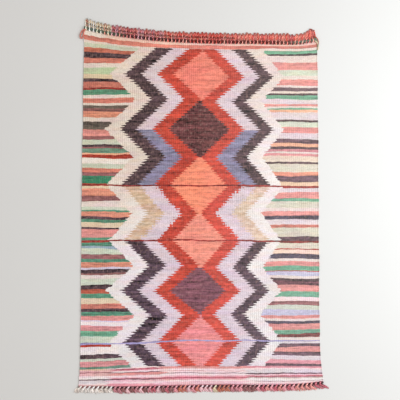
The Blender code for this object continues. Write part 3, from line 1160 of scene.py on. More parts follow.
@dataclass
class WovenCloth(RugPiece):
    """The cloth itself: one thin sheet whose warp ribs are raised on both faces."""

    ribs: int = 120
    columns_a_rib: int = 4
    end_rows: int = 14
    end_row_height: float = 0.005
    middle_rows: int = 60
    thickness: float = 0.0032
    rib_depth: float = 0.0006
    crease_angle: float = 50.0
    # places in the OFBake map, as shares of it
    bake_margin: float = 0.012
    bake_face: float = 0.97
    bake_back: float = 0.44
    bake_back_corner: tuple[float, float] = (0.69, 0.01)
    bake_rim: float = 0.004
    bake_rim_side: float = 0.03
    bake_rim_end: float = 0.06

    def row_levels(self) -> np.ndarray:
        """Height up the rug of each row of points, closer together near the ends."""
        end = np.arange(self.end_rows) * self.end_row_height
        margin = self.end_rows * self.end_row_height
        middle = np.linspace(margin, CLOTH_LENGTH - margin, self.middle_rows + 1)
        return np.concatenate([end, middle, CLOTH_LENGTH - end[::-1]])

    def build(self) -> bpy.types.Object:
        """Build and dress the cloth.

        Returns:
            The finished piece.
        """
        levels = self.row_levels()
        bpy.ops.object.select_all(action="DESELECT")
        bpy.ops.mesh.primitive_grid_add(
            x_subdivisions=self.ribs * self.columns_a_rib,
            y_subdivisions=len(levels) - 1,
            size=2.0,
            calc_uvs=True,
        )
        cloth = bpy.context.object
        cloth.name = "woven_cloth"
        mesh = cloth.data
        points = read_points(mesh)
        across = (points[:, 0] + 1.0) / 2
        up = levels[np.rint((points[:, 1] + 1.0) / 2 * (len(levels) - 1)).astype(int)]
        x, y = self.outline.place(across, up)
        base = self.outline.lift(x, y, up)
        dip = self.rib_depth * (0.5 + 0.5 * np.cos(WHOLE_TURN * self.ribs * across))
        points = np.stack([x, y, base + self.thickness - dip], axis=1)
        mesh.vertices.foreach_set("co", points.ravel())
        mesh.uv_layers[0].name = "Weave"
        write_weave(mesh, mesh.uv_layers[0], x - self.outline.axis, up)
        select_only(cloth)
        solid = cloth.modifiers.new("thickness", "SOLIDIFY")
        solid.thickness = self.thickness
        solid.offset = -1.0
        bpy.ops.object.modifier_apply(modifier=solid.name)
        self.set_underside(mesh, points, base + dip)
        self.map_bake(mesh)
        mesh.materials.clear()
        mesh.materials.append(self.finish)
        bpy.ops.object.shade_smooth_by_angle(angle=math.radians(self.crease_angle))
        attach(cloth, ROOT_BODY)
        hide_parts("rug_cloth")
        return cloth

    def set_underside(self, mesh: bpy.types.Mesh, top: np.ndarray, low: np.ndarray) -> None:
        """Put each point of the underside straight below its own point of the face.

        Args:
            mesh: the thickened mesh, whose second half of points is the underside.
            top: the face's points.
            low: height of the underside at each of them.
        """
        under = top.copy()
        under[:, 2] = low
        mesh.vertices.foreach_set("co", np.concatenate([top, under]).ravel())
        mesh.update()

    def map_bake(self, mesh: bpy.types.Mesh) -> None:
        """Lay the face, the underside and the rim side by side in one map, named OFBake."""
        layer = mesh.uv_layers.new(name="OFBake")
        corners = read_corners(mesh)
        points = read_points(mesh)
        low = points.min(axis=0)
        width, length, _ = points.max(axis=0) - low
        flat = (points[:, :2] - low[:2]) / length
        sizes = np.empty(len(mesh.polygons), dtype=int)
        mesh.polygons.foreach_get("loop_total", sizes)
        faces = np.repeat(np.arange(len(sizes)), sizes)
        under = corners >= len(points) // 2
        count_under = np.bincount(faces, weights=under, minlength=len(sizes))
        on_rim = ((count_under > 0) & (count_under < sizes))[faces]
        on_back = (count_under == sizes)[faces]
        uv = self.bake_margin + flat[corners] * self.bake_face
        uv[on_back] = np.array(self.bake_back_corner) + flat[corners[on_back]] * self.bake_back
        half_width = width / length / 2
        outward = flat[corners[on_rim]] - np.array([half_width, 0.5])
        wide = np.abs(outward) > np.array([half_width - self.bake_rim_side, 0.5 - self.bake_rim_end])
        uv[on_rim] += np.sign(outward) * self.bake_rim * under[on_rim][:, None] * wide
        layer.data.foreach_set("uv", uv.ravel())


def changed(colour: Colour, factor: float, more: float = 0.0, most: float = math.inf) -> Colour:
    """Make a colour lighter or darker.

    Args:
        colour: the colour.
        factor: what its channels are multiplied by.
        more: what is added to them.
        most: the largest that a channel may be.

    Returns:
        The changed colour.
    """
    red, green, blue = (min(most, channel * factor + more) for channel in colour[:3])
    return red, green, blue, 1.0


class Spinner:
    """Spins plied yarns along paths and gathers them into one mesh."""

    def __init__(self, name: str, sides: int = 6, seed: int = 0) -> None:
        """Start an empty mesh.

        Args:
            name: the piece's name.
            sides: sides of each ply's section.
            seed: where its chance starts.
        """
        self.name = name
        self.sides = sides
        self.rng = random.Random(seed)
        self.points: list[np.ndarray] = []
        self.faces: list[tuple[int, ...]] = []
        self.maps: list[tuple[float, float]] = []
        self.colours: list[np.ndarray] = []
        self.count = 0

    def play(self, most: float) -> float:
        """A chance amount up to the most, either way."""
        return self.rng.uniform(-most, most)

    def start(self) -> float:
        """A chance angle for a twist to start at, in radians."""
        return self.rng.uniform(0.0, 3.0)

    def shaded(self, yarn: Yarn, spread: float) -> Colour:
        """A yarn's colour, lighter or darker for one strand by up to a share."""
        return changed(yarn.linear, 1.0 + self.play(spread))

    def pick(self, chart: FringeChart, share: float) -> Yarn:
        """Choose a strand's yarn from a chart along the fringe.

        Args:
            chart: the share at which each stretch ends, and the yarns in it.
            share: where the strand is.

        Returns:
            The yarn.
        """
        for limit, yarns in chart:
            if share <= limit:
                return self.rng.choice(yarns)
        return chart[-1][1][0]

    @staticmethod
    def reached(path: np.ndarray) -> np.ndarray:
        """The length of a path up to each of its points."""
        return np.concatenate([[0.0], np.cumsum(np.linalg.norm(np.diff(path, axis=0), axis=1))])

    @staticmethod
    def spaced(path: np.ndarray, step: float) -> np.ndarray:
        """Lay points along a path at even steps.

        Args:
            path: the path's points.
            step: the distance between the new points.

        Returns:
            The new points, with both ends kept.
        """
        reached = Spinner.reached(path)
        count = max(3, int(round(reached[-1] / step)) + 1)
        wanted = np.linspace(0.0, reached[-1], count)
        return np.stack([np.interp(wanted, reached, path[:, i]) for i in range(3)], axis=1)

    @staticmethod
    def curved(points: Sequence[Sequence[float]], parts: int = 8) -> np.ndarray:
        """Draw a smooth curve through a few points.

        Args:
            points: the points that it passes through.
            parts: steps between each two of them.

        Returns:
            The curve's points.
        """
        given = np.array(points, dtype=float)
        padded = np.concatenate([[2 * given[0] - given[1]], given, [2 * given[-1] - given[-2]]])
        made = []
        for index in range(len(given) - 1):
            before, start, stop, after = padded[index : index + 4]
            bend = 2 * before - 5 * start + 4 * stop - after
            turn = 3 * start - before - 3 * stop + after
            for part in np.linspace(0.0, 1.0, parts, endpoint=False):
                made.append(0.5 * (2 * start + (stop - before) * part + bend * part**2 + turn * part**3))
        made.append(given[-1])
        return np.array(made)

    @staticmethod
    def sections(path: np.ndarray) -> tuple[np.ndarray, np.ndarray]:
        """Two directions square to a path at each of its points, carried along without twisting.

        Args:
            path: the path's points.

        Returns:
            The two directions at each point.
        """
        tangents = np.gradient(path, axis=0)
        tangents /= np.linalg.norm(tangents, axis=1)[:, None] + 1e-12
        guide = np.array([0.0, 0.0, 1.0]) if abs(tangents[0, 2]) < 0.9 else np.array([1.0, 0.0, 0.0])
        side = np.cross(tangents[0], guide)
        side /= np.linalg.norm(side)
        sides = np.empty_like(path)
        for index, tangent in enumerate(tangents):
            side = side - tangent * side.dot(tangent)
            side = side / np.linalg.norm(side)
            sides[index] = side
        return sides, np.cross(tangents, sides)

    def lay_ply(
        self, path: np.ndarray, radii: np.ndarray, colour: Colour, tone: Optional[np.ndarray] = None
    ) -> None:
        """Add one closed tube.

        Args:
            path: its middle line.
            radii: its radius at each point.
            colour: its yarn's colour.
            tone: painted light and shade at each point, as a factor, where that changes.
        """
        first, second = self.sections(path)
        rounds = len(path)
        tone = np.ones(rounds) if tone is None else tone
        turns = (np.arange(self.sides) / self.sides * WHOLE_TURN)[None, :, None]
        rim = np.cos(turns) * first[:, None, :] + np.sin(turns) * second[:, None, :]
        ring = path[:, None, :] + radii[:, None, None] * rim
        reached = self.reached(path)
        start = self.count
        self.points.append(ring.reshape(-1, 3))
        self.count += rounds * self.sides
        toned = np.repeat(tone, self.sides)[:, None] * np.array(colour)
        toned[:, 3] = 1.0
        self.colours.append(toned)
        for level in range(rounds - 1):
            for side in range(self.sides):
                after = (side + 1) % self.sides
                low = start + level * self.sides
                high = low + self.sides
                self.faces.append((low + side, low + after, high + after, high + side))
                around, around_after = side / self.sides, (side + 1) / self.sides
                self.maps.extend([(around, reached[level]), (around_after, reached[level])])
                self.maps.extend([(around_after, reached[level + 1]), (around, reached[level + 1])])
        last = start + (rounds - 1) * self.sides
        self.faces.append(tuple(start + side for side in reversed(range(self.sides))))
        self.faces.append(tuple(last + side for side in range(self.sides)))
        self.maps.extend([(0.5, reached[0])] * self.sides + [(0.5, reached[-1])] * self.sides)

    def lay_yarn(
        self,
        path: np.ndarray,
        ply_radius: float,
        pitch: float,
        colours: Sequence[Colour],
        steps_a_turn: int = 8,
        phase: float = 0.0,
        taper: float = 0.0,
        flatness: float = 0.0,
        tones: Table = ((0.0, 1.0), (1.0, 1.0)),
    ) -> None:
        """Add a yarn of several plies twisted round each other.

        Args:
            path: the yarn's middle line.
            ply_radius: radius of each ply.
            pitch: length of one turn of the twist.
            colours: a colour for each ply.
            steps_a_turn: sections in each turn.
            phase: where the twist starts, in radians.
            taper: how much thinner the yarn is at its tip, as a share.
            flatness: how far the twist is pressed flat, as a share.
            tones: painted light and shade along the yarn, as factors at shares of its length.
        """
        centre = self.spaced(path, pitch / steps_a_turn)
        first, second = self.sections(centre)
        reached = self.reached(centre)
        thin = 1.0 - taper * (reached / reached[-1]) ** 2
        plies = len(colours)
        swing = 0.0 if plies == 1 else ply_radius * 0.92 / math.sin(math.pi / plies)
        for index, colour in enumerate(colours):
            turn = WHOLE_TURN * (reached / pitch + index / plies) + phase
            aside = np.cos(turn)[:, None] * first + np.sin(turn)[:, None] * second
            aside[:, 2] *= 1.0 - flatness
            tone = np.interp(reached / reached[-1], *np.array(tones).T)
            self.lay_ply(centre + aside * (swing * thin)[:, None], ply_radius * thin, colour, tone)

    def make(self, finish: bpy.types.Material) -> bpy.types.Object:
        """Make the piece from all that was laid.

        Args:
            finish: its material.

        Returns:
            The finished piece, riding on the rug.
        """
        mesh = bpy.data.meshes.new(self.name)
        mesh.from_pydata(np.concatenate(self.points).tolist(), [], self.faces)
        layer = mesh.uv_layers.new(name="Strand")
        layer.data.foreach_set("uv", np.array(self.maps).ravel())
        colours = mesh.color_attributes.new("YarnColourAndPaintedLight", "FLOAT_COLOR", "POINT")
        colours.data.foreach_set("color", np.concatenate(self.colours).ravel())
        mesh.materials.append(finish)
        mesh.polygons.foreach_set("use_smooth", np.ones(len(mesh.polygons), dtype=bool))
        mesh.update()
        piece = bpy.data.objects.new(self.name, mesh)
        bpy.context.scene.collection.objects.link(piece)
        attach(piece, ROOT_BODY)
        return piece


@dataclass
class BoundSelvedges(RugPiece):
    """The two long edges, where the outer warps are bound by the turning wefts."""

    radius: float = 0.0021
    rows: int = 420
    sides: int = 8
    overlap: float = 0.0009
    end_gap: float = 0.0005
    bumpiness: float = 0.20
    sideways: float = 0.0034

    def build(self) -> list[bpy.types.Object]:
        """Build both edges, and return the two finished pieces."""
        return [self.build_edge(edge) for edge in Edge]

    def build_edge(self, edge: Edge) -> bpy.types.Object:
        """Build one edge.

        Args:
            edge: which of the two.

        Returns:
            The finished piece.
        """
        name = "left_selvedge" if edge is Edge.LEFT else "right_selvedge"
        spinner = Spinner(name, self.sides, 31 + edge.value)
        up = np.linspace(self.end_gap, CLOTH_LENGTH - self.end_gap, self.rows)
        x, y = self.outline.place(np.full(self.rows, 0.0 if edge is Edge.LEFT else 1.0), up)
        base = self.outline.lift(x, y, up)
        bumps = np.array([spinner.play(self.bumpiness) for _ in range(self.rows)])
        bumps = np.convolve(bumps, np.ones(2) / 2, mode="same")
        radii = self.radius * (1.0 + bumps)
        x = x + edge.value * (bumps * self.sideways - self.overlap)
        spinner.lay_ply(np.stack([x, y, base + radii.max()], axis=1), radii, Yarn.CREAM.linear)
        piece = spinner.make(self.finish)
        layer = piece.data.uv_layers.new(name="Weave")
        across = np.repeat(x - self.outline.axis, self.sides)
        write_weave(piece.data, layer, across, np.repeat(up, self.sides))
        return piece


@dataclass
class TwinedEdges(RugPiece):
    """The two-ply cord that is twined across the warps along each woven end."""

    looped_radius: float = 0.0038
    knotted_radius: float = 0.0029
    pitch: float = 0.021
    looped_beyond: float = 0.0046
    looped_lift: float = 0.0016
    knotted_beyond: float = 0.0044
    flatness: float = 0.58
    points: int = 260
    looped_chart: tuple[tuple[float, Yarn], ...] = (
        (0.00, Yarn.FOREST), (0.12, Yarn.FOREST), (0.20, Yarn.DARK_MAROON), (0.40, Yarn.DARK_MAROON),
        (0.48, Yarn.DARK_BROWN), (0.84, Yarn.DARK_BROWN), (0.94, Yarn.GREY_GREEN), (1.00, Yarn.GREY_GREEN),
    )
    # along the knotted end the cord is dark plum, its colour also standing in for the shade between the necks
    knotted_chart: tuple[tuple[float, Yarn], ...] = (
        (0.00, Yarn.MAUVE), (0.12, Yarn.DARK_PLUM), (1.00, Yarn.DARK_PLUM),
    )

    def build(self) -> list[bpy.types.Object]:
        """Build the cords of both ends, and return the two finished pieces."""
        return [self.build_end(End.LOOPED), self.build_end(End.KNOTTED)]

    def build_end(self, end: End) -> bpy.types.Object:
        """Build one end's cord.

        Args:
            end: which end.

        Returns:
            The finished piece.
        """
        looped = end is End.LOOPED
        radius = self.looped_radius if looped else self.knotted_radius
        beyond = self.looped_beyond if looped else self.knotted_beyond
        chart = self.looped_chart if looped else self.knotted_chart
        height = radius * (2.0 - self.flatness * 0.9) + (self.looped_lift if looped else 0.0)
        shares = np.linspace(0.001, 0.999, self.points)
        line = [(*self.outline.end_point(end, share, beyond), height) for share in shares]
        spinner = Spinner(f"twined_edge_{end.value}", 8)
        white = (1.0, 1.0, 1.0, 1.0)
        spinner.lay_yarn(np.array(line), radius, self.pitch, (white, white), 10, flatness=self.flatness)
        x = np.concatenate(spinner.points)[:, 0]
        share = (x - x.min()) / (x.max() - x.min())
        places = [place for place, _ in chart]
        channels = [np.interp(share, places, [yarn.linear[i] for _, yarn in chart]) for i in range(3)]
        spinner.colours = [np.stack([*channels, np.ones_like(share)], axis=1)]
        piece = spinner.make(self.finish)
        return piece


@dataclass
class LoopedFringe(RugPiece):
    """The warp ends folded back into loops beyond the upper woven end."""

    spinner: Spinner = field(default_factory=lambda: Spinner("looped_fringe", seed=21))
    count: int = 62
    length: float = 0.0530
    length_play: float = 0.06
    root_inset: float = 0.0050
    root_height: float = 0.0046
    root_spread: float = 0.0040
    root_play: float = 0.0014
    leg_spread: float = 0.0054
    leg_play: float = 0.0012
    cord_reach: float = 0.0076
    over_cord: float = 0.0104
    ply_radius: float = 0.0018
    pitch: float = 0.028
    lean_spread: float = 0.05
    loose_share: float = 0.09
    loose_reach: float = 0.14
    # the higher loops near the right corner
    peak_share: float = 0.976
    peak_width: float = 0.045
    peak_reach: float = 0.016
    beside_peak: float = 0.05
    beside_lean: float = 0.25
    corner_lean: float = -21.0
    # the yarn under and between the loops, painted dark near its roots and in the gaps as shade
    core_radius: float = 0.0027
    core_share: float = 0.90
    core_step: float = 0.14
    core_pitch: float = 0.020
    core_height: float = 0.0043
    core_play: float = 0.0015
    # the core's second ply is a darker copy of the first, as painted shade
    core_ply_painted_shade: tuple[float, float] = (0.98, 0.70)
    corner_yarns: tuple[Yarn, ...] = (Yarn.TAN, Yarn.SAND, Yarn.BRICK)
    corner_share: float = 0.12
    # the thin yarns that cross the legs
    crossing_stretch: tuple[float, float] = (0.17, 0.63)
    crossing_beyond: float = 0.0170
    crossing_height: float = 0.0082
    crossing_radius: float = 0.0010
    crossing_step: float = 0.023
    crossing_dips: tuple[float, ...] = (0.0030, 0.0, 0.0002, 0.0030)
    crossing_yarns: tuple[Yarn, ...] = (Yarn.CORAL_PINK, Yarn.TAN, Yarn.ROSE_RED, Yarn.MAUVE_PINK)
    gapped_until: float = 0.64
    # painted light and shade from root to root: first leg lit, head darkened as its shadow, far root as shade
    painted_loop_light_and_shade: Table = (
        (0.00, 1.20), (0.34, 1.10), (0.45, 0.66), (0.50, 0.46), (0.55, 0.56), (0.62, 0.80), (0.78, 0.72),
        (0.86, 0.20), (1.00, 0.10),
    )
    # painted shade along the core yarn: dark near its root, lighter further out; the gapped form also darkens
    # a patch
    painted_core_shade: Table = (
        (0.00, 0.12), (0.18, 0.16), (0.29, 0.80), (0.70, 1.30), (0.88, 1.00), (1.00, 0.50),
    )
    painted_gap_shade: Table = (
        (0.00, 0.12), (0.17, 0.16), (0.26, 0.85), (0.40, 1.00), (0.49, 0.24), (0.60, 0.24), (0.72, 1.20),
        (0.90, 1.00), (1.00, 0.50),
    )
    chart: FringeChart = (
        (0.09, (Yarn.CREAM_WHITE, Yarn.PEACH_CREAM, Yarn.SAND)),
        (0.12, (Yarn.SAND_PEACH, Yarn.CORAL, Yarn.TERRACOTTA)),
        (0.34, (Yarn.ROSE_RED, Yarn.ROSE_RED, Yarn.CORAL, Yarn.MAUVE_PINK)),
        (0.62, (Yarn.CORAL_RED, Yarn.RED, Yarn.CORAL_RED, Yarn.CORAL)),
        (1.00, (Yarn.CORAL_RED, Yarn.CORAL, Yarn.SALMON, Yarn.ROSE_RED)),
    )

    def build(self) -> bpy.types.Object:
        """Build all loops as one piece.

        Returns:
            The finished piece.
        """
        shares = self.outline.strand_shares(End.LOOPED, self.count)
        spacing = shares[1] - shares[0]
        for share in shares:
            loose = max(0.0, 1.0 - min(share, 1.0 - share) / self.loose_share) * (share < 0.5)
            peak = max(0.0, 1.0 - abs(share - self.peak_share) / self.peak_width)
            length = self.length * (1.0 + self.spinner.play(self.length_play) + self.loose_reach * loose)
            length += self.peak_reach * peak
            lean = self.spinner.play(self.lean_spread) + max(0.0, share - self.peak_share) * self.corner_lean
            apart = abs(share - self.peak_share + self.beside_peak) / self.beside_peak
            lean += max(0.0, 1.0 - apart) * self.beside_lean
            root = self.outline.end_point(End.LOOPED, share, -self.root_inset)
            self.lay_loop(root, length, lean, self.spinner.pick(self.chart, share))
            for side in (0.0, 0.5):
                beside = self.outline.end_point(End.LOOPED, share + side * spacing, 0.0)
                self.lay_core(beside, length * (self.core_share - side * self.core_step), lean, share)
        self.lay_crossings()
        piece = self.spinner.make(self.finish)
        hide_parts("fringe_top")
        return piece

    def lay_loop(self, root: tuple[float, float], length: float, lean: float, yarn: Yarn) -> None:
        """Lay one loop: up one leg, round its head and back down the other.

        Args:
            root: X and Y of its root.
            length: how far its head stands out.
            lean: its angle to the cloth, in radians.
            yarn: its yarn.
        """
        half = self.leg_spread
        near = self.root_spread + self.spinner.play(self.root_play)
        height = self.ply_radius * 1.95
        head = length + 0.0045 - half - self.ply_radius * 2
        sway = self.spinner.play(self.leg_play)
        outline = [
            (-near, 0.0, self.root_height),
            (-near, self.cord_reach, self.over_cord),
            (-half * 0.95 + sway, head * 0.42, height * 1.35),
            (-half - sway * 0.5, head * 0.75, height),
            (-half * 0.92, head, height),
            (0.0, head + half * 1.15, height),
            (half * 0.92, head, height),
            (half - sway * 0.5, head * 0.75, height),
            (half * 0.95 + sway, head * 0.42, height * 1.35),
            (near, self.cord_reach, self.over_cord),
            (near, 0.0, self.root_height),
        ]
        cosine, sine = math.cos(lean), math.sin(lean)
        path = [(root[0] + x * cosine + y * sine, root[1] - x * sine + y * cosine, z) for x, y, z in outline]
        base = self.spinner.shaded(yarn, 0.12)
        # the first ply is made much lighter as a painted highlight on the twist
        plies = (changed(base, 1.50, 0.15, 1.0), changed(base, 1.05, 0.010))
        curve = self.spinner.curved(path, 6)
        phase = self.spinner.start()
        self.spinner.lay_yarn(curve, self.ply_radius, self.pitch, plies, 12, phase, tones=self.painted_loop_light_and_shade)

    def lay_crossings(self) -> None:
        """Lay the short thin yarns that cross the loops' legs along a part of the fringe."""
        rng = self.spinner.rng
        for start in np.arange(*self.crossing_stretch, self.crossing_step):
            stop = start + self.crossing_step * rng.uniform(0.45, 1.05)
            beyond = self.crossing_beyond + rng.uniform(-0.0020, 0.0035)
            yarn = rng.choice(self.crossing_yarns)
            path = [
                (*self.outline.end_point(End.LOOPED, share, beyond), self.crossing_height - dip)
                for share, dip in zip(np.linspace(start, stop, len(self.crossing_dips)), self.crossing_dips)
            ]
            plies = (self.spinner.shaded(yarn, 0.10), self.spinner.shaded(yarn, 0.10))
            self.spinner.lay_yarn(self.spinner.curved(path, 4), self.crossing_radius, self.pitch, plies, 8)

    def lay_core(self, root: tuple[float, float], length: float, lean: float, share: float) -> None:
        """Lay the fuller yarn under and between the loops, painted dark near its roots and in gaps as shade.

        Args:
            root: X and Y of its root.
            length: how far it stands out.
            lean: its angle to the cloth, in radians.
            share: where it is along the fringe.
        """
        corner = ((self.corner_share, self.corner_yarns),) if share < self.corner_share else ()
        yarn = self.spinner.pick((*corner, *self.chart), share)
        sway = self.spinner.play(self.core_play)
        stretch = self.spinner.rng.uniform(0.72, 1.22)
        tones = self.painted_gap_shade if share < self.gapped_until else self.painted_core_shade
        tones = tuple((place * stretch if place < 0.3 else place, tone) for place, tone in tones)
        x, y = root
        path = [
            (x + length * part * math.sin(lean) + sway * part, y + length * part, self.core_height)
            for part in (0.0, 0.3, 0.6, 1.0)
        ]
        plies = [changed(yarn.linear, factor) for factor in self.core_ply_painted_shade]
        self.spinner.lay_yarn(
            self.spinner.curved(path, 4), self.core_radius, self.core_pitch, plies, 6, self.spinner.start(),
            taper=0.25, flatness=0.4, tones=tones,
        )


@dataclass
class KnottedFringe(RugPiece):
    """The warp ends twisted and knotted into tassels beyond the lower woven end."""

    spinner: Spinner = field(default_factory=lambda: Spinner("knotted_fringe", 5, 22))
    count: int = 56
    length_play: float = 0.07
    sideways_play: float = 0.0025
    ply_radius: float = 0.0024
    pitch: float = 0.013
    knot_radius: float = 0.0032
    knot_yarn: float = 0.0024
    knot_turns: float = 1.9
    knot_length: float = 0.0066
    tails: int = 12
    tail_radius: float = 0.0015
    tail_curl: float = 0.0026
    tail_lift: float = 0.0030
    strand_pitch: float = 0.026
    # strands on the floor under the tassels, darkened near their roots as painted shade between them
    under_strands: int = 7
    under_radius: float = 0.0019
    under_width: float = 0.022
    splay_share: float = 0.10
    splay_left: float = 0.030
    splay_right: float = 0.040
    # how far out and how far aside the middle of a tassel passes
    line: tuple[tuple[float, float], ...] = (
        (0.0000, 0.0), (0.0040, -0.0036), (0.0090, -0.0084), (0.0140, -0.0112), (0.0190, -0.0110),
        (0.0250, -0.0086), (0.0320, -0.0048), (0.0385, -0.0014),
    )
    neck_heights: tuple[float, ...] = (0.0036, 0.0076, 0.0062, 0.0060)
    # painted shade along each under strand: dark near its root, as the shade under the rug's edge
    painted_under_shade: Table = (
        (0.00, 0.14), (0.32, 0.32), (0.52, 1.00), (1.00, 1.18),
    )
    under_pale: tuple[Yarn, ...] = (Yarn.CREAM_BEIGE, Yarn.CREAM, Yarn.CREAM_WHITE)
    under_deep: tuple[Yarn, ...] = (Yarn.ROSE, Yarn.MAUVE, Yarn.DARK_RED, Yarn.MAUVE_PINK, Yarn.PINK)
    chart: FringeChart = (
        (0.15, (Yarn.CREAM, Yarn.CREAM_WHITE, Yarn.CREAM_WHITE)),
        (0.40, (Yarn.MAUVE_PINK, Yarn.ROSE, Yarn.BLUSH, Yarn.MAUVE)),
        (0.55, (Yarn.CORAL, Yarn.PINK, Yarn.TERRACOTTA, Yarn.BLUSH)),
        (0.62, (Yarn.CORAL, Yarn.SAND, Yarn.TERRACOTTA)),
        (0.75, (Yarn.MAUVE, Yarn.PINK, Yarn.MAUVE_PINK)),
        (1.00, (Yarn.PINK, Yarn.MAUVE_PINK, Yarn.CORAL_PINK, Yarn.ROSE)),
    )

    def splay_of(self, share: float) -> float:
        """How far sideways a tassel's tip is carried near the rug's corners."""
        if share < self.splay_share:
            return -self.splay_left * (1.0 - share / self.splay_share)
        if share > 1.0 - self.splay_share:
            return self.splay_right * (1.0 - (1.0 - share) / self.splay_share)
        return 0.0

    def build(self) -> bpy.types.Object:
        """Build all tassels as one piece.

        Returns:
            The finished piece.
        """
        for share in self.outline.strand_shares(End.KNOTTED, self.count):
            root = self.outline.end_point(End.KNOTTED, share, -0.0005)
            self.lay_tassel(root, self.splay_of(share), self.spinner.pick(self.chart, share))
            self.lay_under(root, self.splay_of(share), share)
        piece = self.spinner.make(self.finish)
        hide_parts("fringe_bottom")
        return piece

    def lay_tassel(self, root: tuple[float, float], splay: float, yarn: Yarn) -> None:
        """Lay one tassel: a twisted neck, the knot and the loose tails.

        Args:
            root: X and Y of its root.
            splay: how far its tip is carried sideways.
            yarn: its yarn.
        """
        stretch = 1.0 + self.spinner.play(self.length_play)
        sway = self.spinner.play(self.sideways_play)
        middle = []
        for reach, aside in self.line:
            part = reach / self.line[-1][0]
            middle.append((root[0] + aside + sway * part + splay * part**1.5, root[1] - reach * stretch))
        neck = [(x, y, z) for (x, y), z in zip(middle, self.neck_heights)]
        base = self.spinner.shaded(yarn, 0.12)
        # the first ply is made lighter as a painted highlight on the twist
        plies = (changed(base, 1.36, 0.09, 1.0), changed(base, 0.95))
        phase = self.spinner.start()
        self.spinner.lay_yarn(self.spinner.curved(neck), self.ply_radius, self.pitch, plies, 9, phase)
        past_neck = middle[len(neck) - 1 :]
        self.lay_knot(past_neck[0], base)
        for index in range(self.tails):
            self.lay_tail(past_neck, index, self.spinner.shaded(yarn, 0.40))

    def lay_under(self, root: tuple[float, float], splay: float, share: float) -> None:
        """Lay the strands on the floor under and between the tassels, painted dark near their roots as shade.

        Args:
            root: X and Y of the tassel's root.
            splay: how far its tip is carried sideways.
            share: where it is along the fringe.
        """
        rng = self.spinner.rng
        yarns = self.under_pale if share < self.chart[0][0] else self.under_deep
        for index in range(self.under_strands):
            beside = ((index + rng.random()) / self.under_strands - 0.5) * self.under_width
            reach = rng.uniform(0.66, 1.0)
            yarn = rng.choice(yarns)
            path = []
            for out, aside in self.line[::2]:
                part = out / self.line[-1][0]
                x = root[0] + beside + aside * 0.8 + splay * part**1.5 + self.spinner.play(0.0012)
                path.append((x, root[1] - 0.001 - out * reach, 0.0030 - 0.0008 * part))
            self.spinner.lay_yarn(
                self.spinner.curved(path, 3), self.under_radius, self.strand_pitch,
                (self.spinner.shaded(yarn, 0.30),), 6, taper=0.3, tones=self.painted_under_shade,
            )

    def lay_knot(self, centre: tuple[float, float], colour: Colour) -> None:
        """Lay the yarn's turns round the tassel.

        Args:
            centre: X and Y of the knot.
            colour: its colour.
        """
        start = self.spinner.rng.uniform(0.0, WHOLE_TURN)
        turns = np.linspace(0.0, self.knot_turns * WHOLE_TURN, 26)
        along = (turns / turns[-1] - 0.5) * self.knot_length
        radius = self.knot_radius * (1.0 - 0.25 * (2.0 * turns / turns[-1] - 1.0) ** 2)
        x = centre[0] + radius * np.cos(turns + start)
        z = self.neck_heights[-1] + radius * np.sin(turns + start)
        path = np.stack([x, centre[1] - along, np.maximum(z, self.knot_yarn)], axis=1)
        self.spinner.lay_ply(path, np.full(len(path), self.knot_yarn), colour)

    def lay_tail(self, middle: Sequence[tuple[float, float]], index: int, colour: Colour) -> None:
        """Lay one loose tail from the knot to the floor.

        Args:
            middle: the tassel's middle line from its knot on.
            index: which tail.
            colour: its colour.
        """
        fan = (index / (self.tails - 1) - 0.5) * 2.0
        reach = self.spinner.rng.uniform(0.62, 0.98)
        curl = self.spinner.play(self.tail_curl)
        path = []
        for step, (x, y) in enumerate(middle):
            part = step / (len(middle) - 1)
            aside = fan * (0.0026 + 0.0084 * part**0.6) + curl * math.sin(part * 6.0)
            out = middle[0][1] + (y - middle[0][1]) * reach
            lift = self.tail_lift * math.sin(part * math.pi) * self.spinner.rng.random()
            fall = (self.neck_heights[-1] - 0.001) * (1.0 - part) ** 1.4
            path.append((x + aside, out, fall + self.tail_radius * 1.1 + lift))
        curve = self.spinner.curved(path, 3)
        self.spinner.lay_yarn(curve, self.tail_radius, self.strand_pitch, (colour,), 9, 0.0, 0.45)


@dataclass
class LooseYarns(RugPiece):
    """The ends of yarn that have worked loose at the upper corners."""

    spinner: Spinner = field(default_factory=lambda: Spinner("loose_corner_yarns", seed=5))
    ply_radius: float = 0.0021
    pitch: float = 0.013
    left_loop: tuple[tuple[float, float, float], ...] = (
        (0.006, -0.004, 0.0070), (-0.006, -0.008, 0.0048), (-0.016, -0.022, 0.0042),
        (-0.021, -0.036, 0.0042), (-0.017, -0.049, 0.0042), (-0.008, -0.046, 0.0044),
        (-0.004, -0.030, 0.0050), (0.001, -0.012, 0.0062), (0.009, -0.002, 0.0080),
    )
    right_drops: tuple[tuple[float, Yarn], ...] = (
        (0.0, Yarn.RUST), (0.010, Yarn.GREY_GREEN), (0.020, Yarn.SAND),
    )

    def build(self) -> bpy.types.Object:
        """Build the loose yarns as one piece.

        Returns:
            The finished piece.
        """
        self.lay(0.0, self.left_loop, Yarn.CORAL)
        for drop, yarn in self.right_drops:
            strand = (
                (-0.014, 0.018 - drop, 0.0086),
                (-0.004, 0.012 - drop, 0.0080),
                (0.004, 0.002 - drop, 0.0052),
                (0.007, -0.010 - drop, 0.0044),
                (0.005, -0.024 - drop * 1.3, 0.0044),
            )
            self.lay(1.0, strand, yarn)
        piece = self.spinner.make(self.finish)
        return piece

    def lay(self, share: float, shape: Sequence[Sequence[float]], yarn: Yarn) -> None:
        """Lay one loose yarn.

        Args:
            share: share of the width at which its corner is.
            shape: the points that it passes through, from that corner.
            yarn: its yarn.
        """
        corner_x, corner_y = self.outline.end_point(End.LOOPED, share, 0.0)
        path = [(corner_x + x, corner_y + y, z) for x, y, z in shape]
        plies = (self.spinner.shaded(yarn, 0.1), self.spinner.shaded(yarn, 0.1))
        self.spinner.lay_yarn(self.spinner.curved(path), self.ply_radius, self.pitch, plies, 8)


